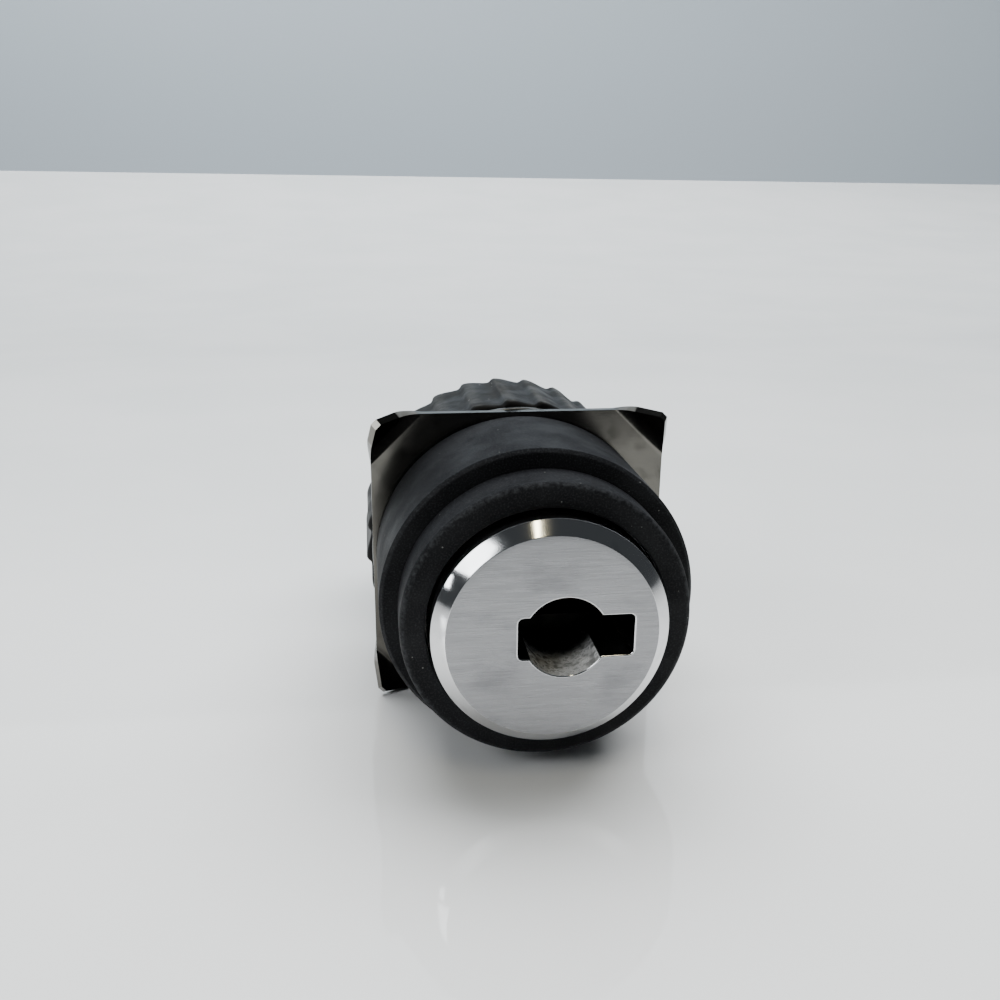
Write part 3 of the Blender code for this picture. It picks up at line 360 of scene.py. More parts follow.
class Recipe:
    """A Principled material under construction."""

    SPECK_EDGE = 0.10
    SPECK_CORE = 0.04
    SPECK_FADE = 0.02

    def __init__(self, name: str, colour: Colour, roughness: float, metallic: float) -> None:
        """Starts the material.

        Args:
            name: the material's name.
            colour: base colour.
            roughness: base roughness.
            metallic: 1 for a metal and 0 for a plastic.
        """
        self.material = bpy.data.materials.new(name)
        self.material.use_nodes = True
        self.material.diffuse_color = (*colour, 1.0)
        self.tree = self.material.node_tree
        self.shader = self.tree.nodes["Principled BSDF"]
        self.shader.inputs["Base Color"].default_value = (*colour, 1.0)
        self.shader.inputs["Roughness"].default_value = roughness
        self.shader.inputs["Metallic"].default_value = metallic
        self.place = self.tree.nodes.new("ShaderNodeTexCoord").outputs["Object"]

    def node(self, kind: str, inputs: dict[str | int, object], **settings: object) -> bpy.types.Node:
        """Adds a node.

        Args:
            kind: the node's type.
            inputs: socket name or number to a value or to the output that feeds it.
            settings: the node's own settings.

        Returns:
            The node.
        """
        made = self.tree.nodes.new(kind)
        for key, value in settings.items():
            setattr(made, key, value)
        for key, value in inputs.items():
            if isinstance(value, bpy.types.NodeSocket):
                self.tree.links.new(value, made.inputs[key])
            else:
                made.inputs[key].default_value = value
        return made

    def stretched(self, stretch: Sequence[float]) -> bpy.types.NodeSocket:
        """Object coordinates scaled along each axis."""
        return self.node("ShaderNodeMapping", {"Vector": self.place, "Scale": stretch}).outputs[0]

    def noise(
        self, size: float, detail: float = 3.0, stretch: Sequence[float] = (1, 1, 1)
    ) -> bpy.types.NodeSocket:
        """Cloudy noise.

        Args:
            size: size of its clouds.
            detail: how many finer layers it has.
            stretch: scale along each axis.

        Returns:
            The noise, around a half.
        """
        inputs = {"Vector": self.stretched(stretch), "Scale": 1 / size, "Detail": detail}
        return self.node("ShaderNodeTexNoise", inputs).outputs["Fac"]

    def specks(self, spacing: float, share: float) -> bpy.types.NodeSocket:
        """Small scattered specks.

        Args:
            spacing: mean distance between two specks.
            share: share of the places that hold one.

        Returns:
            1 on a speck and 0 elsewhere.
        """
        cells = self.node("ShaderNodeTexVoronoi", {"Vector": self.place, "Scale": 1 / spacing})
        near = self.span(cells.outputs["Distance"], self.SPECK_EDGE, self.SPECK_CORE, 0.0, 1.0)
        draw = self.node("ShaderNodeSeparateColor", {0: cells.outputs["Color"]}).outputs[0]
        kept = self.span(draw, 1 - share, 1 - share + self.SPECK_FADE, 0.0, 1.0)
        return self.times(near, kept)

    def maths(self, operation: str, *values: object) -> bpy.types.NodeSocket:
        """One step of arithmetic."""
        return self.node("ShaderNodeMath", dict(enumerate(values)), operation=operation).outputs[0]

    def times(self, first: bpy.types.NodeSocket, second: object) -> bpy.types.NodeSocket:
        """One value times another."""
        return self.maths("MULTIPLY", first, second)

    def span(
        self, source: bpy.types.NodeSocket, low: float, high: float, start: float, end: float
    ) -> bpy.types.NodeSocket:
        """Takes low..high of a value to start..end, with soft ends."""
        inputs = {0: source, 1: low, 2: high, 3: start, 4: end}
        return self.node("ShaderNodeMapRange", inputs, interpolation_type="SMOOTHSTEP").outputs[0]

    def patches(self, source: bpy.types.NodeSocket, band: Point, strength: float) -> bpy.types.NodeSocket:
        """A mask from 0 below a band of a noise to its full strength above it."""
        return self.span(source, *band, 0.0, strength)

    def spread(self, source: bpy.types.NodeSocket, start: float, end: float) -> bpy.types.NodeSocket:
        """Takes the broad middle of a noise to start..end."""
        return self.span(source, *NOISE_MIDDLE, start, end)

    def blend(self, mask: bpy.types.NodeSocket, first: object, second: object) -> bpy.types.NodeSocket:
        """Mixes two colours by a mask."""
        made = self.node("ShaderNodeMix", {0: mask}, data_type="RGBA")
        for number, value in ((6, first), (7, second)):
            if isinstance(value, bpy.types.NodeSocket):
                self.tree.links.new(value, made.inputs[number])
            else:
                made.inputs[number].default_value = (*value, 1.0)
        return made.outputs[2]

    def reach(self) -> bpy.types.NodeSocket:
        """Distance from the object's Y axis."""
        flat = self.stretched((1.0, 0.0, 1.0))
        return self.node("ShaderNodeVectorMath", {0: flat}, operation="LENGTH").outputs["Value"]

    def along(self) -> bpy.types.NodeSocket:
        """Place along the object's Y axis."""
        return self.node("ShaderNodeSeparateXYZ", {0: self.place}).outputs["Y"]

    def near(self, source: bpy.types.NodeSocket, value: float, width: float) -> bpy.types.NodeSocket:
        """1 where a value is met, falling to 0 at a width from it."""
        off = self.maths("ABSOLUTE", self.maths("SUBTRACT", source, value))
        return self.span(off, 0.0, width, 1.0, 0.0)

    def colour(self, source: bpy.types.NodeSocket) -> None:
        """Feeds the base colour."""
        self.tree.links.new(source, self.shader.inputs["Base Color"])

    def roughness(self, source: bpy.types.NodeSocket) -> None:
        """Feeds the roughness."""
        self.tree.links.new(source, self.shader.inputs["Roughness"])

    def relief(self, *layers: tuple[bpy.types.NodeSocket, float]) -> None:
        """Bumps the surface.

        Args:
            layers: each a height from 0 to 1 and its depth in metres.
        """
        normal = None
        for height, depth in layers:
            inputs: dict[str | int, object] = {"Height": height, "Distance": depth, "Strength": 1.0}
            if normal is not None:
                inputs["Normal"] = normal
            normal = self.node("ShaderNodeBump", inputs).outputs[0]
        self.tree.links.new(normal, self.shader.inputs["Normal"])


@dataclass(frozen=True)
class Rim:
    """A worn edge of a turned piece."""

    radius: float
    place: float
    width: float = 0.35 * MM


@dataclass(frozen=True)
class MouldedPlastic:
    """Spark-textured plastic with handling shine, worn rims and dust."""

    name: str
    colour: Colour
    worn: Colour
    roughness: float = 0.55
    grain: float = 0.16 * MM
    depth: float = 0.012 * MM
    dust: float = 0.25
    rims: tuple[Rim, ...] = ()
    wear: float = 0.5
    shine: float = 0.4
    cloud: float = 4.5 * MM
    handled: Point = (0.35, 0.7)
    handling: float = 0.6
    handled_share: float = 0.15
    grain_band: Point = (0.45, 0.75)
    grain_strength: float = 0.35
    chips: float = 0.5 * MM
    chip_band: Point = (0.38, 0.62)
    dust_spacing: float = 0.9 * MM
    dust_strength: float = 0.75
    dust_colour: Colour = (0.20, 0.20, 0.19)
    uneven: float = 0.08

    def make(self) -> bpy.types.Material:
        """Builds the material."""
        recipe = Recipe(self.name, self.colour, self.roughness, 0.0)
        recipe.shader.inputs["Specular IOR Level"].default_value = self.shine
        grain = recipe.noise(self.grain, 4.0)
        cloud = recipe.noise(self.cloud, 4.0)
        handled = recipe.patches(cloud, self.handled, self.handling)
        share = self.handled_share
        lighter = tuple((1 - share) * a + share * b for a, b in zip(self.colour, self.worn))
        surface = recipe.blend(handled, self.colour, lighter)
        surface = recipe.blend(
            recipe.patches(grain, self.grain_band, self.grain_strength), surface, self.worn
        )
        ragged = recipe.patches(recipe.noise(self.chips, 5.0), self.chip_band, 1.0)
        for rim in self.rims:
            ring = recipe.near(recipe.reach(), rim.radius, rim.width)
            edge = recipe.times(ring, recipe.near(recipe.along(), rim.place, rim.width))
            surface = recipe.blend(recipe.times(recipe.times(edge, ragged), self.wear), surface, self.worn)
        specks = recipe.times(recipe.specks(self.dust_spacing, self.dust), self.dust_strength)
        recipe.colour(recipe.blend(specks, surface, self.dust_colour))
        recipe.roughness(recipe.spread(cloud, self.roughness + self.uneven, self.roughness - self.uneven))
        recipe.relief((cloud, self.depth), (grain, self.depth))
        return recipe.material


@dataclass(frozen=True)
class Plating:
    """Bright plated metal with smudges and fine scratches."""

    name: str
    colour: Colour
    stained: Colour
    roughness: float = 0.07
    smudge: float = 0.10
    scratches: float = 0.0008 * MM
    cloud: float = 5.0 * MM
    smudge_band: Point = (0.35, 0.7)
    stain_size: float = 0.45
    stain_band: Point = (0.52, 0.72)
    stain_strength: float = 0.7
    scratch_size: float = 0.09 * MM
    scratch_stretch: float = 0.05
    wave: float = 3.0 * MM
    wave_depth: float = 6.0

    def make(self) -> bpy.types.Material:
        """Builds the material."""
        recipe = Recipe(self.name, self.colour, self.roughness, 1.0)
        smudges = recipe.noise(self.cloud, 5.0)
        blots = recipe.noise(self.cloud * self.stain_size, 6.0)
        stains = recipe.patches(blots, self.stain_band, self.stain_strength)
        recipe.colour(recipe.blend(stains, self.colour, self.stained))
        rough = self.roughness
        recipe.roughness(recipe.span(smudges, *self.smudge_band, rough, rough + self.smudge))
        lines = recipe.noise(self.scratch_size, 2.0, (self.scratch_stretch, 1.0, 1.0))
        waves = recipe.noise(self.wave, 1.0)
        recipe.relief((waves, self.wave_depth * self.scratches), (lines, self.scratches))
        return recipe.material


@dataclass(frozen=True)
class BrushedMetal:
    """Satin metal brushed along X, with stains and a few deeper scratches."""

    name: str
    colour: Colour
    stained: Colour
    roughness: float = 0.30
    depth: float = 0.0022 * MM
    fine: float = 0.05 * MM
    fine_stretch: float = 0.02
    broad: float = 0.30 * MM
    broad_stretch: float = 0.06
    broad_strength: float = 0.25
    score: float = 0.12 * MM
    score_stretch: float = 0.035
    score_band: Point = (0.66, 0.74)
    score_strength: float = 0.6
    score_colour: Colour = (0.22, 0.22, 0.23)
    cloud: float = 3.2 * MM
    cloud_stretch: float = 0.55
    stain_band: Point = (0.50, 0.72)
    stain_strength: float = 0.75
    smoother: float = 0.06
    rougher: float = 0.10

    def make(self) -> bpy.types.Material:
        """Builds the material."""
        recipe = Recipe(self.name, self.colour, self.roughness, 1.0)
        fine = recipe.noise(self.fine, 3.0, (self.fine_stretch, 1.0, 1.0))
        broad = recipe.noise(self.broad, 4.0, (self.broad_stretch, 1.0, 1.0))
        deep = recipe.noise(self.score, 2.0, (self.score_stretch, 1.0, 1.0))
        cloud = recipe.noise(self.cloud, 6.0, (self.cloud_stretch, 1.0, 1.0))
        stains = recipe.patches(cloud, self.stain_band, self.stain_strength)
        surface = recipe.blend(stains, self.colour, self.stained)
        surface = recipe.blend(recipe.spread(broad, 0.0, self.broad_strength), surface, self.stained)
        scored = recipe.times(recipe.patches(deep, self.score_band, 1.0), self.score_strength)
        recipe.colour(recipe.blend(scored, surface, self.score_colour))
        rough = self.roughness
        recipe.roughness(recipe.spread(fine, rough - self.smoother, rough + self.rougher))
        recipe.relief((cloud, 4 * self.depth), (broad, 1.5 * self.depth), (fine, self.depth))
        return recipe.material


@dataclass(frozen=True)
class FlutedPlastic:
    """The nut's plastic: dull, dusty in its flutes and rubbed on its ridges."""

    name: str
    colour: Colour
    dusty: Colour
    rubbed: Colour
    crest: float
    trough: float
    shine: float = 0.14
    cloud: float = 2.6 * MM
    grain: float = 0.14 * MM
    dust_band: Point = (0.42, 0.66)
    dust_strength: float = 0.85
    crest_dust: float = 0.25
    ridge: float = 0.22 * MM
    rub: float = 0.8 * MM
    rub_band: Point = (0.35, 0.6)
    rub_range: Point = (0.15, 0.85)
    lint_spacing: float = 1.1 * MM
    lint: float = 0.35
    lint_colour: Colour = (0.25, 0.24, 0.22)
    roughness: Point = (0.40, 0.62)
    cloud_depth: float = 0.02 * MM
    grain_depth: float = 0.012 * MM

    def make(self) -> bpy.types.Material:
        """Builds the material."""
        recipe = Recipe(self.name, self.colour, 0.5, 0.0)
        recipe.shader.inputs["Specular IOR Level"].default_value = self.shine
        cloud = recipe.noise(self.cloud, 6.0)
        grain = recipe.noise(self.grain, 4.0)
        reach = recipe.reach()
        low = recipe.span(reach, self.trough, self.crest, 1.0, self.crest_dust)
        dust = recipe.times(recipe.patches(cloud, self.dust_band, self.dust_strength), low)
        surface = recipe.blend(dust, self.colour, self.dusty)
        ridge = recipe.span(reach, self.crest - self.ridge, self.crest, 0.0, 1.0)
        ragged = recipe.span(recipe.noise(self.rub, 4.0), *self.rub_band, *self.rub_range)
        surface = recipe.blend(recipe.times(ridge, ragged), surface, self.rubbed)
        recipe.colour(recipe.blend(recipe.specks(self.lint_spacing, self.lint), surface, self.lint_colour))
        recipe.roughness(recipe.spread(cloud, *self.roughness))
        recipe.relief((cloud, self.cloud_depth), (grain, self.grain_depth))
        return recipe.material


@dataclass(frozen=True)
class CastMetal:
    """Cast, turned or drawn metal with a dull grain."""

    name: str
    colour: Colour
    dull: Colour
    roughness: float = 0.4
    grain: float = 0.2 * MM
    depth: float = 0.006 * MM
    metal: float = 1.0
    cloud: float = 2.5 * MM
    # Painted shade: the span along Y over which the colour darkens with depth, and the share of the dull
    # colour it darkens to.
    fade: Point | None = None
    faded: float = 0.1
    dull_band: Point = (0.4, 0.68)
    dull_strength: float = 0.8
    smoother: float = 0.08
    rougher: float = 0.12

    def make(self) -> bpy.types.Material:
        """Builds the material."""
        recipe = Recipe(self.name, self.colour, self.roughness, self.metal)
        cloud = recipe.noise(self.cloud, 5.0)
        grain = recipe.noise(self.grain, 3.0)
        surface = recipe.blend(
            recipe.patches(cloud, self.dull_band, self.dull_strength), self.colour, self.dull
        )
        # Painted shade: darker deeper along Y.
        if self.fade:
            deep = recipe.patches(recipe.along(), self.fade, 1.0)
            surface = recipe.blend(deep, surface, tuple(self.faded * part for part in self.dull))
        recipe.colour(surface)
        rough = self.roughness
        recipe.roughness(recipe.spread(cloud, rough - self.smoother, rough + self.rougher))
        recipe.relief((grain, self.depth))
        return recipe.material


@dataclass(frozen=True)
class Rubber:
    """Matt rubber with a talc bloom."""

    name: str = "seal_rubber"
    colour: Colour = (0.012, 0.012, 0.012)
    bloom: Colour = (0.045, 0.044, 0.042)
    cloud: float = 1.8 * MM
    bloom_band: Point = (0.45, 0.7)
    grain: float = 0.1 * MM
    depth: float = 0.01 * MM
    roughness: Point = (0.72, 0.9)

    def make(self) -> bpy.types.Material:
        """Builds the material."""
        recipe = Recipe(self.name, self.colour, 0.8, 0.0)
        cloud = recipe.noise(self.cloud, 5.0)
        recipe.colour(recipe.blend(recipe.patches(cloud, self.bloom_band, 1.0), self.colour, self.bloom))
        recipe.roughness(recipe.spread(cloud, *self.roughness))
        recipe.relief((recipe.noise(self.grain, 3.0), self.depth))
        return recipe.material


@dataclass(frozen=True)
class Extent:
    """Where a node of the design lies."""

    left: float
    right: float
    front: float
    back: float
    bottom: float
    top: float

    @classmethod
    def of(cls, node: str) -> "Extent":
        """Reads a node's box.

        Args:
            node: the node's name.

        Returns:
            Its extent.
        """
        low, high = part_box(node)
        return cls(low.x, high.x, low.y, high.y, low.z, high.z)

    @property
    def radius(self) -> float:
        """Outer radius of a turned node."""
        return (self.right - self.left) / 2


def show(
    piece: bpy.types.Object,
    body: Body,
    slot: Slot,
    finishes: Iterable[bpy.types.Material],
    *nodes: str,
) -> None:
    """slot: the record's slot for its finish; not used.
        finishes: its materials, in the order of its material slots.
        nodes: the design's nodes that it stands for.
    """
    smooth(piece)
    if len(piece.data.materials) == 0:
        for finish in finishes:
            piece.data.materials.append(finish)
    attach(piece, body.value)
    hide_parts(*nodes)
    LOG.info("%s: %d faces, rides on %s", piece.name, len(piece.data.polygons), body.value)


@dataclass
class Bezel:
    """Collar and threaded shank in one moulding, with the guard ring in front."""

    collar_chamfer: float = 0.35 * MM
    socket_wall: float = 1.9 * MM
    socket_depth: float = 3.8 * MM
    chamber: float = 8.6 * MM
    thread_root: float = 10.3 * MM
    thread_depth: float = 0.7 * MM
    pitch: float = 1.5 * MM
    crest_flat: float = 0.20 * MM
    keyslot: float = 3.0 * MM
    gasket_outer: float = 13.4 * MM
    gasket_inner: float = 11.6 * MM
    gasket_depth: float = 1.0 * MM
    pocket: float = 10.7 * MM
    pocket_floor: float = 1.0 * MM
    guard_rounding: float = 0.6 * MM
    guard_lip: float = 1.3 * MM
    spigot: float = 12.3 * MM
    guard_bore: float = 11.3 * MM
    cap: float = 10.33 * MM
    gap: float = 0.3 * MM
    collar_round: float = 0.25 * MM
    chamfer_round: float = 0.16 * MM
    core_inset: float = 0.15 * MM
    winding_steps: int = 96
    thread_end: float = 0.3 * MM
    keyslot_front: float = 0.15 * MM
    keyslot_depth: float = 0.2 * MM
    guard_bore_round: float = 0.18 * MM
    guard_back_round: float = 0.12 * MM
    guard_wear: Place = (0.15 * MM, 0.1 * MM, 0.45 * MM)

    def finish(self, name: str, rims: tuple[Rim, ...]) -> bpy.types.Material:
        """The bezel's black plastic with its own worn rims."""
        return MouldedPlastic(
            name,
            colour=(0.0052, 0.0055, 0.0066),
            worn=(0.050, 0.052, 0.056),
            roughness=0.64,
            depth=0.022 * MM,
            rims=rims,
            shine=0.13,
        ).make()

    def core(self, extent: Extent) -> bpy.types.Object:
        """The collar and the shank's bored core, without the thread."""
        front, back, radius = extent.front, extent.back, extent.radius
        chamfer = self.collar_chamfer
        core = self.thread_root - self.core_inset
        corners = [
            (radius - self.socket_wall, front, 0.0),
            (radius - chamfer, front, self.chamfer_round),
            (radius, front + chamfer, self.collar_round),
            (radius, -chamfer, self.collar_round),
            (radius - chamfer, 0.0, self.chamfer_round),
            (self.gasket_outer, 0.0, 0.0),
            (self.gasket_outer, -self.gasket_depth, 0.0),
            (self.gasket_inner, -self.gasket_depth, 0.0),
            (self.gasket_inner, 0.0, 0.0),
            (core, 0.0, 0.0),
            (core, back - chamfer, 0.0),
            (core - chamfer, back, 0.0),
            (self.chamber, back, 0.0),
            (self.chamber, -self.pocket_floor, 0.0),
            (self.pocket, -self.pocket_floor, 0.0),
            (self.pocket, front + self.socket_depth, 0.0),
            (radius - self.socket_wall, front + self.socket_depth, 0.0),
        ]
        return turn("bezel", rounded(corners), bored=True)

    def thread(self, back: float) -> bpy.types.Object:
        """The shank's thread: a profile wound round the axis, trimmed at both ends and bored."""
        deselect()
        start = -self.pitch
        bpy.ops.mesh.primitive_plane_add(size=0.1 * MM, location=(self.thread_root, start, 0.0))
        rod = settle("thread")
        edit(rod, Kind.POINTS)
        bpy.ops.mesh.merge(type="CENTER")
        flank = (self.pitch - 2 * self.crest_flat) / 2
        moves = ((self.thread_depth, flank), (0.0, self.crest_flat),
                 (-self.thread_depth, flank), (0.0, self.crest_flat))
        for _ in range(math.ceil((back + 2 * self.pitch) / self.pitch)):
            for out, on in moves:
                bpy.ops.mesh.extrude_region_move(TRANSFORM_OT_translate={"value": (out, on, 0.0)})
        leave()
        wound = rod.modifiers.new("winding", "SCREW")
        wound.axis = "Y"
        wound.steps = wound.render_steps = self.winding_steps
        wound.screw_offset = self.pitch
        wound.use_merge_vertices = False
        bpy.ops.object.modifier_apply(modifier=wound.name)
        close_up(rod)
        for place, side in ((self.pitch, "clear_inner"), (back - self.thread_end, "clear_outer")):
            edit(rod)
            bpy.ops.mesh.bisect(plane_co=(0.0, place, 0.0), plane_no=(0.0, 1.0, 0.0), use_fill=True,
                                **{side: True})
        close_up(rod)
        middle = (self.chamber + self.thread_root) / 2
        work(rod, turn("thread_bore", [(middle, 0.0), (middle, back)]))
        return rod

    def build(self) -> None:
        """Builds the moulding and the guard ring."""
        extent = Extent.of("bezel_body")
        body = self.core(extent)
        work(body, self.thread(extent.back), Cut.JOINED)
        half = self.keyslot / 2
        slot = block("keyslot", (-half, self.keyslot_front, self.thread_root - self.keyslot_depth),
                     (half, extent.back + self.pitch, extent.top))
        work(body, slot)
        rims = (Rim(extent.radius, extent.front), Rim(extent.radius, 0.0))
        show(body, Body.HOUSING, Slot.BLACK_PLASTIC, [self.finish("collar_plastic", rims)], "bezel_body")
        self.guard(extent)

    def guard(self, collar: Extent) -> None:
        """Builds the ring that stands round the lock's cap."""
        extent = Extent.of("guard_ring")
        opening = self.cap + self.gap
        back = collar.front - self.gap
        floor = collar.front + self.socket_depth - self.gap
        corners = [
            (opening, extent.front + self.guard_lip, 0.0),
            (opening, extent.front, self.guard_bore_round),
            (extent.radius, extent.front, self.guard_rounding),
            (extent.radius, back, self.guard_back_round),
            (self.spigot, back, 0.0),
            (self.spigot, floor, 0.0),
            (self.guard_bore, floor, 0.0),
            (self.guard_bore, extent.front + self.guard_lip, 0.0),
        ]
        ring = turn("guard", rounded(corners, 7), bored=True)
        inwards, rearwards, width = self.guard_wear
        rims = (Rim(extent.radius - inwards, extent.front + rearwards, width),)
        show(ring, Body.HOUSING, Slot.BLACK_PLASTIC, [self.finish("guard_plastic", rims)], "guard_ring")


@dataclass
class Cap:
    """The lock's chromed cap, with a brushed face and the keyhole cut through it."""

    axis: float = 1.1 * MM
    edge: float = 10.33 * MM
    chamfer: float = 1.16 * MM
    bevel: float = 1.03 * MM
    flange_front: float = 4.28 * MM
    flange: float = 1.1 * MM
    waist: float = 9.4 * MM
    keyhole: float = 3.6 * MM
    slot_left: float = 4.1 * MM
    slot_right: float = 5.9 * MM
    slot_height: float = 3.74 * MM
    slot_corner: float = 0.45 * MM
    edge_round: float = 0.10 * MM
    face_start: float = 0.6 * MM
    broken_edge: float = 0.14 * MM
    facets: int = 192
    hole_facets: int = 96
    overcut: float = 1.0 * MM
    face_slack: float = 0.02 * MM
    wall_slack: float = 0.1 * MM
    # Depths behind the front over which the keyhole wall's painted light gives way to painted shade.
    lit_depth: Point = (2.6 * MM, 5.2 * MM)

    def finishes(self, front: float) -> tuple[bpy.types.Material, ...]:
        """The cap's four finishes, in the order of CapFinish: chrome, face, and painted lit and painted
        shade copies of the keyhole wall.
        """
        lit_from, lit_to = self.lit_depth
        # Painted light: the lower keyhole wall is near white as lit, darkening deeper into the hole as
        # painted shade.
        wall = CastMetal(
            "keyhole_wall",
            colour=(0.98, 0.98, 0.98),
            dull=(0.16, 0.16, 0.16),
            roughness=0.32,
            grain=0.30 * MM,
            depth=0.02 * MM,
            metal=0.35,
            cloud=0.8 * MM,
            fade=(front + lit_from, front + lit_to),
        )
        return (
            Plating("cap_chrome", (0.72, 0.72, 0.73), (0.55, 0.55, 0.56)).make(),
            BrushedMetal("cap_face", (0.32, 0.32, 0.33), (0.21, 0.21, 0.22)).make(),
            wall.make(),
            # Painted shade: the other keyhole walls are near black.
            CastMetal("keyhole_dark", (0.045, 0.045, 0.045), (0.015, 0.015, 0.015)).make(),
        )

    def build(self) -> None:
        """Builds and dresses the cap."""
        extent = Extent.of("lock_cap")
        front, back = extent.front, extent.back
        corners = [
            (self.edge - self.chamfer - self.face_start, front, 0.0),
            (self.edge - self.chamfer, front, self.edge_round),
            (self.edge, front + self.bevel, self.edge_round),
            (self.edge, front + self.flange_front, 0.0),
            (extent.radius, front + self.flange_front, self.edge_round),
            (extent.radius, front + self.flange_front + self.flange, self.edge_round),
            (self.waist, front + self.flange_front + self.flange, 0.0),
            (self.waist, back, 0.0),
        ]
        cap = turn("cap", rounded(corners, 4), facets=self.facets)
        reach = self.overcut
        hole = turn("keyhole", [(self.keyhole, front - reach), (self.keyhole, back + reach)],
                    (self.axis, 0.0), self.hole_facets)
        half = self.slot_height / 2
        slot = block("key_slot", (self.axis - self.slot_left, front - 2 * reach, -half),
                     (self.axis + self.slot_right, back + 2 * reach, half))
        soften_along_y(slot, self.slot_corner)
        work(hole, slot, Cut.JOINED)
        work(cap, hole)
        soften(cap, self.broken_edge, 3, 60.0)
        finishes = self.finishes(front)
        for finish in finishes:
            cap.data.materials.append(finish)
        for face in cap.data.polygons:
            inside = math.hypot(face.center.x - self.axis, face.center.z) < self.slot_right
            if face.normal.y < -0.99 and face.center.y < front + self.face_slack:
                face.material_index = CapFinish.FACE
            elif inside and abs(face.normal.y) < 0.5 and face.center.y > front + self.edge_round:
                # Painted light: the lower keyhole walls take the painted lit finish, the other keyhole
                # walls the painted shade finish.
                lower = face.center.z < -half - self.wall_slack
                face.material_index = CapFinish.KEYHOLE_WALL if lower else CapFinish.KEYHOLE_DARK
        show(cap, Body.HOUSING, Slot.CHROME, finishes, "lock_cap")


@dataclass
class Clamp:
    """Square plate with folded corners, and the washer behind it."""

    thickness: float = 0.8 * MM
    side: float = 29.6 * MM
    corner_leg: float = 5.2 * MM
    corner_cut: float = 0.5 * MM
    folds: tuple[float, ...] = (42.0, 42.0, 42.0, 50.0)
    fold_radius: float = 2.1 * MM
    fold_steps: int = 8
    bore: float = 11.3 * MM
    keyslot: float = 3.0 * MM
    tooth_inner: float = 10.4 * MM
    front: float = 0.3 * MM
    slack: float = 0.001 * MM
    broken_edge: float = 0.09 * MM
    washer_bore_round: float = 0.08 * MM
    washer_round: float = 0.12 * MM
    washer_lip: float = 0.1 * MM

    def sheet(self) -> bpy.types.Object:
        """The flat sheet, turned corner up, with its tips cut and its corners bent forward."""
        deselect()
        bpy.ops.mesh.primitive_plane_add(size=self.side, location=(0.0, self.front, 0.0),
                                         rotation=(math.pi / 2, math.pi / 4, 0.0))
        sheet = settle("plate")
        line = (self.side - self.corner_leg) / math.sqrt(2)
        tip = (self.side - self.corner_cut) / math.sqrt(2)
        ways = [Vector((1, 0, 0)), Vector((0, 0, -1)), Vector((-1, 0, 0)), Vector((0, 0, 1))]
        turns = [math.radians(fold) for fold in self.folds]
        bends = [[line + self.fold_radius * turned_by * step / self.fold_steps
                  for step in range(self.fold_steps + 1)] for turned_by in turns]
        edit(sheet)
        for way, reaches in zip(ways, bends):
            for reach in reaches:
                bpy.ops.mesh.select_all(action="SELECT")
                bpy.ops.mesh.bisect(plane_co=way * reach, plane_no=way)
            bpy.ops.mesh.select_all(action="SELECT")
            bpy.ops.mesh.bisect(plane_co=way * tip, plane_no=way, clear_outer=True)
        leave()
        flat = [vertex.co.copy() for vertex in sheet.data.vertices]
        for way, reaches, turned_by in zip(ways, bends, turns):
            for reach in reaches[:-1]:
                beyond = [place.dot(way) > reach + self.slack for place in flat]
                on_line = next(
                    number for number, place in enumerate(flat) if abs(place.dot(way) - reach) < self.slack
                )
                hinge = sheet.data.vertices[on_line].co.copy()
                self.bend(sheet, beyond, hinge, way, turned_by / self.fold_steps)
        return sheet

    def bend(
        self, sheet: bpy.types.Object, beyond: Sequence[bool], hinge: Vector, way: Vector, step: float
    ) -> None:
        """Turns what lies beyond a line forward by one step of the fold.

        Args:
            sheet: the sheet.
            beyond: for each vertex, whether it moves.
            hinge: a point on the line.
            way: the corner's direction.
            step: how far it turns.
        """
        pick(sheet, lambda number, _: beyond[number])
        along_x = abs(way.x) > 0.5
        sense = -way.x if along_x else way.z
        bpy.ops.transform.rotate(value=-sense * step, orient_axis="Z" if along_x else "X",
                                 center_override=hinge)
        leave()

    def build(self) -> None:
        """Builds the plate and the washer."""
        self.plate()
        self.washer()

    def plate(self) -> None:
        """The folded plate, bored and keyed to the shank."""
        plate = self.sheet()
        edit(plate)
        bpy.ops.transform.rotate(value=math.pi / 4, orient_axis="Y", center_override=(0.0, 0.0, 0.0))
        leave()
        solid = plate.modifiers.new("sheet", "SOLIDIFY")
        solid.thickness = self.thickness
        solid.offset = -1.0
        solid.use_even_offset = True
        bpy.ops.object.modifier_apply(modifier=solid.name)
        close_up(plate)
        back = self.front + self.thickness
        work(plate, turn("plate_bore", [(self.bore, self.front - MM), (self.bore, back + MM)]))
        half = self.keyslot / 2 - self.front
        tooth = block("tooth", (-half, self.front, self.tooth_inner), (half, back, self.bore + MM))
        work(plate, tooth, Cut.JOINED)
        soften(plate, self.broken_edge, 2, 50.0)
        steel = Plating("plate_steel", (0.135, 0.129, 0.116), (0.075, 0.073, 0.064),
                        roughness=0.12, smudge=0.10, scratches=0.0010 * MM)
        show(plate, Body.CLAMP, Slot.SHEET_STEEL, [steel.make()], "square_plate")

    def washer(self) -> None:
        """The washer between the plate and the nut."""
        extent = Extent.of("lock_washer")
        corners = [
            (self.bore, extent.back, 0.0),
            (self.bore, extent.front, self.washer_bore_round),
            (extent.radius, extent.front, self.washer_round),
            (extent.radius, extent.back, self.washer_round),
        ]
        profile = [*rounded(corners, 3), (self.bore + self.washer_lip, extent.back)]
        washer = turn("washer", profile, bored=True)
        zinc = Plating("washer_zinc", (0.20, 0.20, 0.195), (0.10, 0.10, 0.10),
                       roughness=0.30, smudge=0.14, scratches=0.002 * MM)
        show(washer, Body.CLAMP, Slot.SHEET_STEEL, [zinc.make()], "lock_washer")


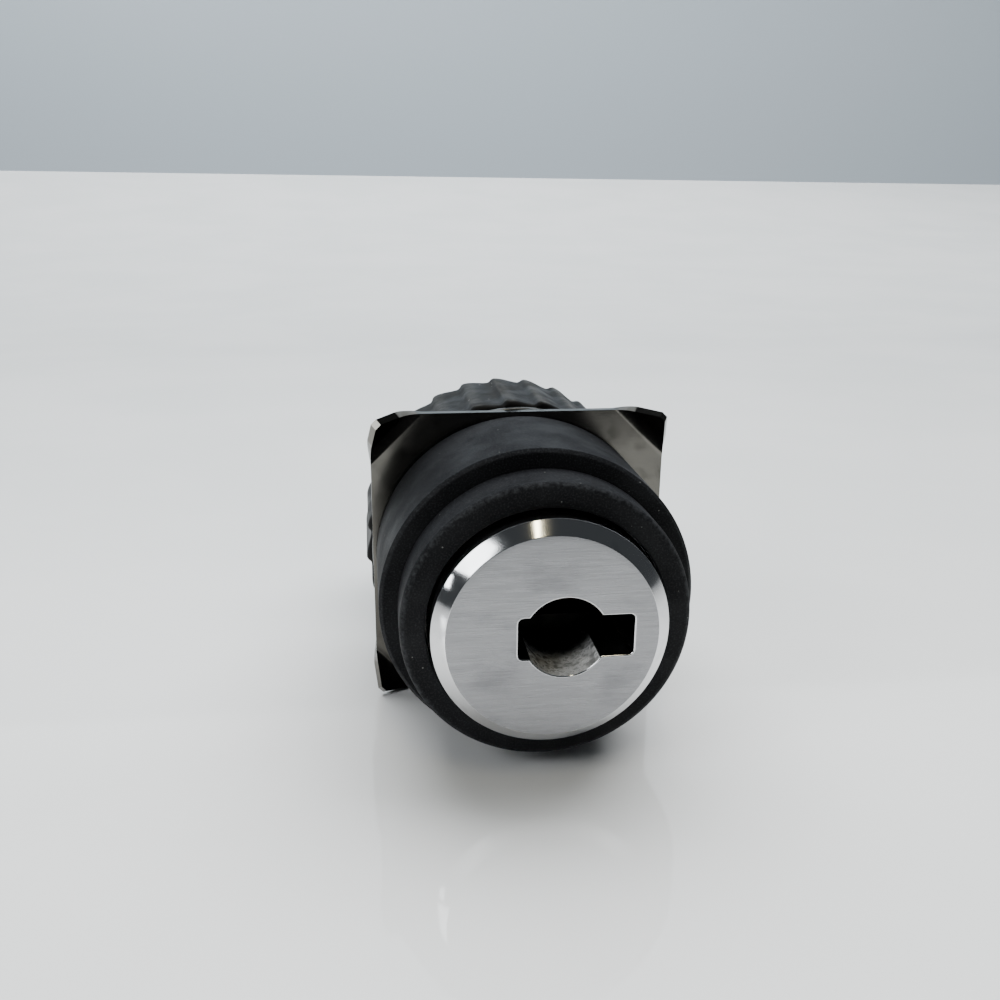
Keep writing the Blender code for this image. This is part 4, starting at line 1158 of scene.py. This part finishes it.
@dataclass
class Nut:
    """Fluted ring nut."""

    crest: float = 15.5 * MM
    flutes: int = 28
    per_flute: int = 15
    depth: float = 0.42 * MM
    phase: float = 0.45
    rise: float = 0.2
    chamfer: float = 0.5 * MM
    chamfer_steps: int = 4
    bore: float = 11.3 * MM
    lead_in: float = 0.3 * MM

    def lift(self, share: float) -> float:
        """Height across a flute: a steep flank, a rounded crest and a long fall."""
        if share < self.rise:
            return 0.5 - 0.5 * math.cos(math.pi * share / self.rise)
        return 0.5 + 0.5 * math.cos(math.pi * (share - self.rise) / (1 - self.rise))

    def build(self) -> None:
        """Builds and dresses the nut."""
        extent = Extent.of("ring_nut")
        radius = self.crest
        count = self.flutes * self.per_flute
        deselect()
        bpy.ops.mesh.primitive_circle_add(vertices=count, radius=radius, fill_type="NGON",
                                          location=(0.0, extent.front, 0.0),
                                          rotation=(math.pi / 2, 0.0, 0.0))
        nut = settle("nut")
        angles = [math.atan2(vertex.co.x, vertex.co.z) % math.tau for vertex in nut.data.vertices]
        shift = round(self.phase * self.per_flute)
        places = [(round(angle / math.tau * count) + shift) % self.per_flute for angle in angles]
        for step in range(self.per_flute):
            ratio = (radius - self.depth * (1 - self.lift(step / self.per_flute))) / radius
            pick(nut, lambda number, _, step=step: places[number] == step)
            bpy.ops.transform.resize(value=(ratio, 1.0, ratio), center_override=(0.0, extent.front, 0.0))
        arc = [math.radians(90 * step / self.chamfer_steps) for step in range(self.chamfer_steps + 1)]
        inset = [self.chamfer * (1 - math.sin(angle)) for angle in arc]
        onward = [self.chamfer * (1 - math.cos(angle)) for angle in arc]
        rows = [(extent.front + on, radius - out) for out, on in zip(inset, onward)]
        rows += [(extent.back - on, radius - out) for out, on in zip(inset[::-1], onward[::-1])]
        edit(nut, Kind.FACES)
        reach, place = radius, extent.front
        for number, (next_place, next_reach) in enumerate(rows):
            if number:
                bpy.ops.mesh.extrude_region_move(
                    TRANSFORM_OT_translate={"value": (0.0, next_place - place, 0.0)})
            ratio = next_reach / reach
            bpy.ops.transform.resize(value=(ratio, 1.0, ratio), center_override=(0.0, next_place, 0.0))
            reach, place = next_reach, next_place
        close_up(nut)
        soft = self.lead_in
        flare = [(self.bore + soft, extent.front - MM), (self.bore + soft, extent.front),
                 (self.bore, extent.front + soft), (self.bore, extent.back - soft),
                 (self.bore + soft, extent.back), (self.bore + soft, extent.back + MM)]
        work(nut, turn("nut_bore", flare))
        plastic = FlutedPlastic(
            "nut_plastic",
            colour=(0.0040, 0.0040, 0.0045),
            dusty=(0.012, 0.0112, 0.010),
            rubbed=(0.030, 0.029, 0.027),
            crest=radius,
            trough=radius - self.depth,
        )
        show(nut, Body.NUT, Slot.GREY_PLASTIC, [plastic.make()], "ring_nut")


@dataclass
class ContactBlock:
    """Contact block behind the shank: case, cover, tabs and cover screws."""

    depth: float = 11.2 * MM
    spigot: float = 8.3 * MM
    spigot_wall: float = 1.3 * MM
    spigot_front: float = 12.51 * MM
    neck: float = 9.6 * MM
    neck_thickness: float = 1.7 * MM
    front_wall: float = 2.2 * MM
    corner: float = 3.2 * MM
    plunger_spacing: float = 9.0 * MM
    chamber_width: float = 7.2 * MM
    edge_wall: float = 1.0 * MM
    guide: float = 1.4 * MM
    screw_place: float = 10.3 * MM
    screw_bore: float = 1.2 * MM
    head: float = 1.9 * MM
    head_height: float = 1.2 * MM
    strip_width: float = 2.8 * MM
    strip_thickness: float = 0.8 * MM
    strip_outer: float = 4.8 * MM
    gap: float = 0.3 * MM
    corner_steps: int = 9
    bore_facets: int = 48
    neck_inner: float = 0.01 * MM
    screw_depth: float = 6.8 * MM
    broken_edge: float = 0.18 * MM
    recess_depth: float = 0.3 * MM
    recess_front: float = 3.0 * MM
    recess_back: float = 9.4 * MM
    grooves: int = 5
    groove_front: float = 2.0 * MM
    groove_pitch: float = 1.6 * MM
    groove_width: float = 0.8 * MM
    groove_depth: float = 0.3 * MM
    groove_reach: float = 2.4 * MM
    cover_edge: float = 0.15 * MM
    well_half: float = 0.5 * MM
    well_depth: float = 0.4 * MM
    well_margin: float = 2.0 * MM
    tab_hole: float = 0.6 * MM
    tab_hole_place: float = 2.0 * MM
    tab_edge: float = 0.12 * MM
    tab_clip: float = 0.55 * MM
    shank: float = 0.9 * MM
    shank_point: Point = (0.3 * MM, 0.5 * MM)
    head_seat_round: float = 0.08 * MM
    head_round: float = 0.42 * MM
    crown: float = 0.2 * MM
    driver_slot: Place = (3.0 * MM, 0.6 * MM, 0.28 * MM)
    screw_edge: float = 0.05 * MM
    screw_turns: Point = (0.4, -0.9)

    def moulding(self, name: str, colour: Colour, worn: Colour) -> bpy.types.Material:
        """The block's grey plastic."""
        return MouldedPlastic(name, colour, worn, roughness=0.5, grain=0.18 * MM,
                              depth=0.010 * MM, dust=0.3).make()

    def case(self) -> None:
        """The case with its spigot, chambers, side recesses and grip ribs."""
        extent = Extent.of("block_housing")
        rear = Extent.of("block_cover")
        extent = replace(extent, bottom=rear.bottom, top=rear.top)
        half = extent.radius
        front = extent.back - self.depth
        case = block("block_case", (-half, front, extent.bottom), (half, extent.back, extent.top))
        soften_along_y(case, self.corner, self.corner_steps)
        inner = self.spigot - self.spigot_wall
        floor = front - self.edge_wall
        behind = front + self.neck_thickness
        corners = [(inner, floor), (inner, self.spigot_front), (self.spigot, self.spigot_front),
                   (self.spigot, front), (self.neck, front), (self.neck, behind),
                   (self.neck_inner, behind), (self.neck_inner, floor)]
        work(case, turn("spigot", corners, bored=True), Cut.JOINED)
        for side in (-1, 1):
            middle = side * self.plunger_spacing / 2
            low = (middle - self.chamber_width / 2, front + self.front_wall, extent.bottom + self.edge_wall)
            high = (middle + self.chamber_width / 2, extent.back + MM, extent.top - self.edge_wall)
            work(case, block("chamber", low, high))
            guide = [(self.guide, floor - MM), (self.guide, front + self.front_wall + MM)]
            work(case, turn("guide", guide, (middle, 0.0), self.bore_facets))
            bore = [(self.screw_bore, extent.back - self.screw_depth), (self.screw_bore, extent.back + MM)]
            work(case, turn("screw_bore", bore, (side * self.screw_place, 0.0), self.bore_facets))
            for level in (extent.bottom, extent.top):
                self.recess(case, middle, level, front)
            self.ribs(case, side * half, front)
        soften(case, self.broken_edge, 2, 50.0)
        plastic = self.moulding("case_plastic", (0.030, 0.031, 0.033), (0.11, 0.11, 0.11))
        show(case, Body.HOUSING, Slot.GREY_PLASTIC, [plastic], "block_housing")

    def recess(self, case: bpy.types.Object, middle: float, level: float, front: float) -> None:
        """Sinks a shallow panel into the case's top or bottom."""
        half = self.chamber_width / 2
        low = (middle - half, front + self.recess_front, level - self.recess_depth)
        high = (middle + half, front + self.recess_back, level + self.recess_depth)
        work(case, block("recess", low, high))

    def ribs(self, case: bpy.types.Object, side: float, front: float) -> None:
        """Cuts grip grooves into the case's left or right side."""
        for row in range(self.grooves):
            place = front + self.groove_front + self.groove_pitch * row
            low = (side - self.groove_depth, place, -self.groove_reach)
            high = (side + self.groove_depth, place + self.groove_width, self.groove_reach)
            work(case, block("groove", low, high))

    def cover(self) -> None:
        """The rear cover, slotted for the tabs."""
        extent = Extent.of("block_cover")
        half = extent.radius
        cover = block("rear_cover", (-half, extent.front, extent.bottom), (half, extent.back, extent.top))
        soften_along_y(cover, self.corner, self.corner_steps)
        reach = self.strip_width / 2 + self.gap
        for side in (-1, 1):
            middle = side * self.plunger_spacing / 2
            for up in (-1, 1):
                rows = sorted((up * (self.strip_outer - self.strip_thickness - self.gap),
                               up * (self.strip_outer + self.gap)))
                work(cover, block("tab_slot", (middle - reach, extent.front - MM, rows[0]),
                                  (middle + reach, extent.back + MM, rows[1])))
            bore = [(self.screw_bore, extent.front - MM), (self.screw_bore, extent.back + MM)]
            work(cover, turn("cover_bore", bore, (side * self.screw_place, 0.0), self.bore_facets))
        low = (-self.well_half, extent.back - self.well_depth, extent.bottom + self.well_margin)
        high = (self.well_half, extent.back + MM, extent.top - self.well_margin)
        work(cover, block("well", low, high))
        soften(cover, self.cover_edge, 2, 50.0)
        plastic = self.moulding("cover_plastic", (0.034, 0.035, 0.037), (0.12, 0.12, 0.12))
        show(cover, Body.HOUSING, Slot.GREY_PLASTIC, [plastic], "block_cover")

    def tab(self, node: str, finish: bpy.types.Material) -> None:
        """One contact strip with its foot and a pierced, chamfered tab."""
        extent = Extent.of(node)
        up = 1 if extent.top > 0 else -1
        outer = extent.top if up > 0 else extent.bottom
        inner = outer - up * self.strip_thickness
        foot_end = extent.bottom if up > 0 else extent.top
        low_z, high_z = sorted((inner, outer))
        strip = block(node.replace("contact", "strip"), (extent.left, extent.front, low_z),
                      (extent.right, extent.back, high_z))
        foot_low, foot_high = sorted((foot_end, (inner + outer) / 2))
        foot = block("foot", (extent.left, extent.front, foot_low),
                     (extent.right, extent.front + self.strip_thickness, foot_high))
        work(strip, foot, Cut.JOINED)
        deselect()
        middle = (extent.left + extent.right) / 2
        bpy.ops.mesh.primitive_cylinder_add(vertices=32, radius=self.tab_hole, depth=4 * MM,
                                            location=(middle, extent.back - self.tab_hole_place, outer))
        work(strip, settle("piercing"))
        for side in (-1, 1):
            self.point(strip, extent, side)
        soften(strip, self.tab_edge, 2, 50.0)
        show(strip, Body.HOUSING, Slot.TINNED_BRASS, [finish], node)

    def point(self, strip: bpy.types.Object, extent: Extent, side: int) -> None:
        """Clips one corner of a tab's tip."""
        edit(strip)
        edge = extent.right if side > 0 else extent.left
        bpy.ops.mesh.bisect(plane_co=(edge - side * self.tab_clip, extent.back, 0.0),
                            plane_no=(side * 1.0, 1.0, 0.0), use_fill=True, clear_outer=True)
        leave()

    def screw(self, side: str, finish: bpy.types.Material) -> None:
        """One slotted cheese-head screw in the cover."""
        extent = Extent.of(f"cover_screw_{side}")
        middle = (extent.left + extent.right) / 2
        head = extent.back - self.head_height
        narrowing, point = self.shank_point
        corners = [
            (self.shank - narrowing, extent.front, 0.0),
            (self.shank, extent.front + point, 0.0),
            (self.shank, head, 0.0),
            (self.head, head, self.head_seat_round),
            (self.head, extent.back, self.head_round),
            (self.crown, extent.back, 0.0),
        ]
        screw = turn(f"screw_{side}", rounded(corners), (middle, 0.0), self.bore_facets)
        turned_by = self.screw_turns[0 if side == "left" else 1]
        reach, depth, half = self.driver_slot
        slot = block("driver_slot", (-reach, extent.back - depth, -half), (reach, extent.back + MM, half))
        slot.data.transform(Matrix.Translation((middle, 0, 0)) @ Matrix.Rotation(turned_by, 4, "Y"))
        work(screw, slot)
        soften(screw, self.screw_edge, 2, 60.0)
        show(screw, Body.HOUSING, Slot.SCREW_STEEL, [finish], f"cover_screw_{side}")

    def build(self) -> None:
        """Builds the block's visible pieces."""
        self.case()
        self.cover()
        tin = Plating("tab_tin", (0.62, 0.60, 0.55), (0.42, 0.38, 0.30),
                      roughness=0.22, smudge=0.16, scratches=0.002 * MM).make()
        for contact in ("nc", "no"):
            for level in ("upper", "lower"):
                self.tab(f"contact_{contact}_{level}", tin)
        steel = Plating("screw_zinc", (0.55, 0.54, 0.50), (0.34, 0.32, 0.27),
                        roughness=0.25, smudge=0.16, scratches=0.002 * MM).make()
        for side in ("left", "right"):
            self.screw(side, steel)


@dataclass
class Works:
    """The pieces inside, kept as designed and given their finishes."""

    def finishes(self) -> dict[str, bpy.types.Material]:
        """One finish for each record slot used inside."""
        insides = {
            Slot.ZINC: CastMetal("diecast_zinc", (0.40, 0.40, 0.41), (0.25, 0.25, 0.25)),
            Slot.BRASS: CastMetal("turned_brass", (0.62, 0.45, 0.20), (0.38, 0.26, 0.11), 0.32),
            Slot.SPRING_STEEL: CastMetal("spring_wire", (0.44, 0.44, 0.45), (0.26, 0.26, 0.26), 0.3),
            Slot.SILVER: CastMetal("contact_silver", (0.78, 0.77, 0.73), (0.5, 0.48, 0.43), 0.3),
            Slot.SCREW_STEEL: CastMetal("grub_steel", (0.42, 0.41, 0.38), (0.24, 0.23, 0.2), 0.35),
            Slot.RUBBER: Rubber(),
            Slot.WHITE_PLASTIC: MouldedPlastic(
                "nylon", (0.62, 0.60, 0.54), (0.72, 0.70, 0.64), roughness=0.45, dust=0.05
            ),
        }
        return {slot.value: finish.make() for slot, finish in insides.items()}

    def build(self) -> None:
        """Dresses every node that still shows as designed."""
        finishes = self.finishes()
        # Painted shade: the lock rotor, deep in the keyhole, is near black in place of its record finish.
        dark = CastMetal("greased_zinc", (0.030, 0.029, 0.027), (0.010, 0.010, 0.010), 0.42).make()
        slots = {part["node"]: part["material_slot"] for part in node_slots()}
        for name, node in frame["nodes"].items():
            if node.hide_render:
                continue
            node.data.materials.clear()
            node.data.materials.append(dark if name == "lock_rotor" else finishes[slots[name]])
            LOG.info("%s: dressed in %s", name, slots[name])


def node_slots() -> list[dict[str, str]]:
    """The record's list of nodes with the material slot of each."""
    record = frame["record"]
    found: list[dict[str, str]] = []
    stack: list[object] = [record]
    while stack:
        item = stack.pop()
        if isinstance(item, dict):
            if "node" in item and "material_slot" in item:
                found.append(item)
            stack += list(item.values())
        elif isinstance(item, list):
            stack += item
    return found


@dataclass(frozen=True)
class Lamp:
    """A soft rectangular lamp, hidden from the camera."""

    name: str
    place: Place
    size: Point
    power: float
    colour: Colour = (0.95, 0.98, 1.0)
    aim: Place = (0.0, 0.0, 0.0)
    mirrored: bool = True

    def hang(self) -> None:
        """Adds the lamp to the scene, facing its aim."""
        lamp = bpy.data.lights.new(self.name, "AREA")
        lamp.shape = "RECTANGLE"
        lamp.size, lamp.size_y = self.size
        lamp.energy = self.power
        lamp.color = self.colour
        item = bpy.data.objects.new(self.name, lamp)
        bpy.context.scene.collection.objects.link(item)
        item.location = self.place
        item.rotation_mode = "QUATERNION"
        item.rotation_quaternion = (Vector(self.aim) - Vector(self.place)).to_track_quat("-Z", "Y")
        item.visible_glossy = self.mirrored
        item.visible_camera = False


@dataclass
class Studio:
    """Glossy pale table, soft backdrop, soft light and the camera."""

    floor: float = -15.52 * MM
    flat: float = 0.30
    near: float = -0.100
    width: float = 7.0
    heel: float = 0.0146
    pitch: float = 0.036
    roll: float = 0.004
    sweep_run: float = 0.6
    sweep_rise: float = 0.0622
    sweep_steps: int = 12
    wall: float = 6.0
    wall_distance: float = 0.4
    wall_grey: Colour = (0.40, 0.46, 0.51)
    wall_glow: float = 0.55
    gloss: float = 1.62
    table_colours: tuple[Colour, Colour] = ((0.66, 0.67, 0.665), (0.71, 0.71, 0.705))
    table_roughness: Point = (0.03, 0.06)
    room: Colour = (0.80, 0.88, 0.95)
    room_light: float = 0.06
    lens: float = 35.9
    clip: Point = (0.001, 20.0)
    eye: Place = (-14.8 * MM, -95.23 * MM, 36.92 * MM)
    gaze: Place = (0.1275, 0.9427, -0.3084)
    upward: Place = (0.0314, 0.307, 0.9512)
    lamps: tuple[Lamp, ...] = (
        Lamp("overhead", (0.15, 0.55, 0.95), (1.6, 0.9), 44.0, (0.97, 0.99, 1.0),
             aim=(0.0, 0.15, 0.0), mirrored=False),
        Lamp("window", (-0.55, -0.30, 0.42), (0.34, 0.34), 2.6),
        Lamp("side_pane", (-0.66, -0.22, 0.16), (0.05, 0.10), 0.12),
        Lamp("sky", (0.0, 1.25, 0.80), (5.0, 1.9), 24.0, (0.97, 0.99, 1.0), aim=(0.0, 0.0, 0.45)),
        Lamp("ceiling_strip", (-0.02, -0.38, 0.80), (0.045, 0.30), 0.8, (1.0, 0.90, 0.62)),
    )

    def table(self) -> bpy.types.Object:
        """The table top, sweeping up at the back."""
        deselect()
        middle = (self.near + self.flat) / 2
        length = self.flat - self.near
        rest = self.floor - self.pitch * (middle - self.heel)
        bpy.ops.mesh.primitive_plane_add(size=1.0)
        top = settle("table")
        top.scale = (self.width, length, 1.0)
        top.rotation_euler = (-self.pitch, self.roll, 0.0)
        top.location = (0.0, middle, rest)
        settle("table")
        pick(top, lambda _, place: place.y > middle)
        bpy.ops.mesh.select_mode(type="EDGE")
        for step in range(self.sweep_steps):
            rise = self.sweep_rise * ((step + 1) ** 2 - step ** 2) / self.sweep_steps ** 2
            move = (0.0, self.sweep_run / self.sweep_steps, rise)
            bpy.ops.mesh.extrude_region_move(TRANSFORM_OT_translate={"value": move})
        close_up(top)
        bpy.ops.object.shade_smooth()
        recipe = Recipe("table_top", (0.70, 0.705, 0.70), 0.05, 0.0)
        recipe.shader.inputs["IOR"].default_value = self.gloss
        cloud = recipe.noise(60 * MM, 3.0)
        recipe.colour(recipe.blend(recipe.spread(cloud, 0.0, 1.0), *self.table_colours))
        recipe.roughness(recipe.spread(recipe.noise(25 * MM, 3.0), *self.table_roughness))
        top.data.materials.append(recipe.material)
        return top

    def backdrop(self) -> bpy.types.Object:
        """The wall behind the table, which glows a little."""
        deselect()
        place = self.flat + self.sweep_run + self.wall_distance
        bpy.ops.mesh.primitive_plane_add(size=self.wall, location=(0.0, place, 0.0),
                                         rotation=(math.pi / 2, 0.0, 0.0))
        wall = settle("backdrop")
        grey = Recipe("backdrop_grey", self.wall_grey, 0.9, 0.0)
        grey.shader.inputs["Emission Color"].default_value = (*self.wall_grey, 1.0)
        grey.shader.inputs["Emission Strength"].default_value = self.wall_glow
        wall.data.materials.append(grey.material)
        return wall

    def world(self) -> None:
        """The nearly dark room."""
        world = bpy.data.worlds.new("room")
        world.use_nodes = True
        background = world.node_tree.nodes["Background"]
        background.inputs["Color"].default_value = (*self.room, 1.0)
        background.inputs["Strength"].default_value = self.room_light
        bpy.context.scene.world = world

    def camera(self) -> None:
        """The camera, placed by its line of sight."""
        data = bpy.data.cameras.new("camera")
        data.lens = self.lens
        data.clip_start, data.clip_end = self.clip
        item = bpy.data.objects.new("camera", data)
        bpy.context.scene.collection.objects.link(item)
        gaze = Vector(self.gaze).normalized()
        right = gaze.cross(Vector(self.upward)).normalized()
        upward = right.cross(gaze)
        facing = Matrix((right, upward, -gaze)).transposed().to_4x4()
        item.matrix_world = Matrix.Translation(self.eye) @ facing
        bpy.context.scene.camera = item

    def build(self) -> None:
        """Sets the studio up."""
        self.table()
        self.backdrop()
        self.world()
        for lamp in self.lamps:
            lamp.hang()
        self.camera()


def main() -> None:
    """Builds the sub-assemblies in order, then the studio."""
    for part in (Bezel(), Cap(), Clamp(), Nut(), ContactBlock(), Works(), Studio()):
        part.build()
        LOG.info("%s built", type(part).__name__)


if __name__ == "__main__":
    logging.basicConfig(level=logging.INFO, format="%(name)s %(message)s")
    main()
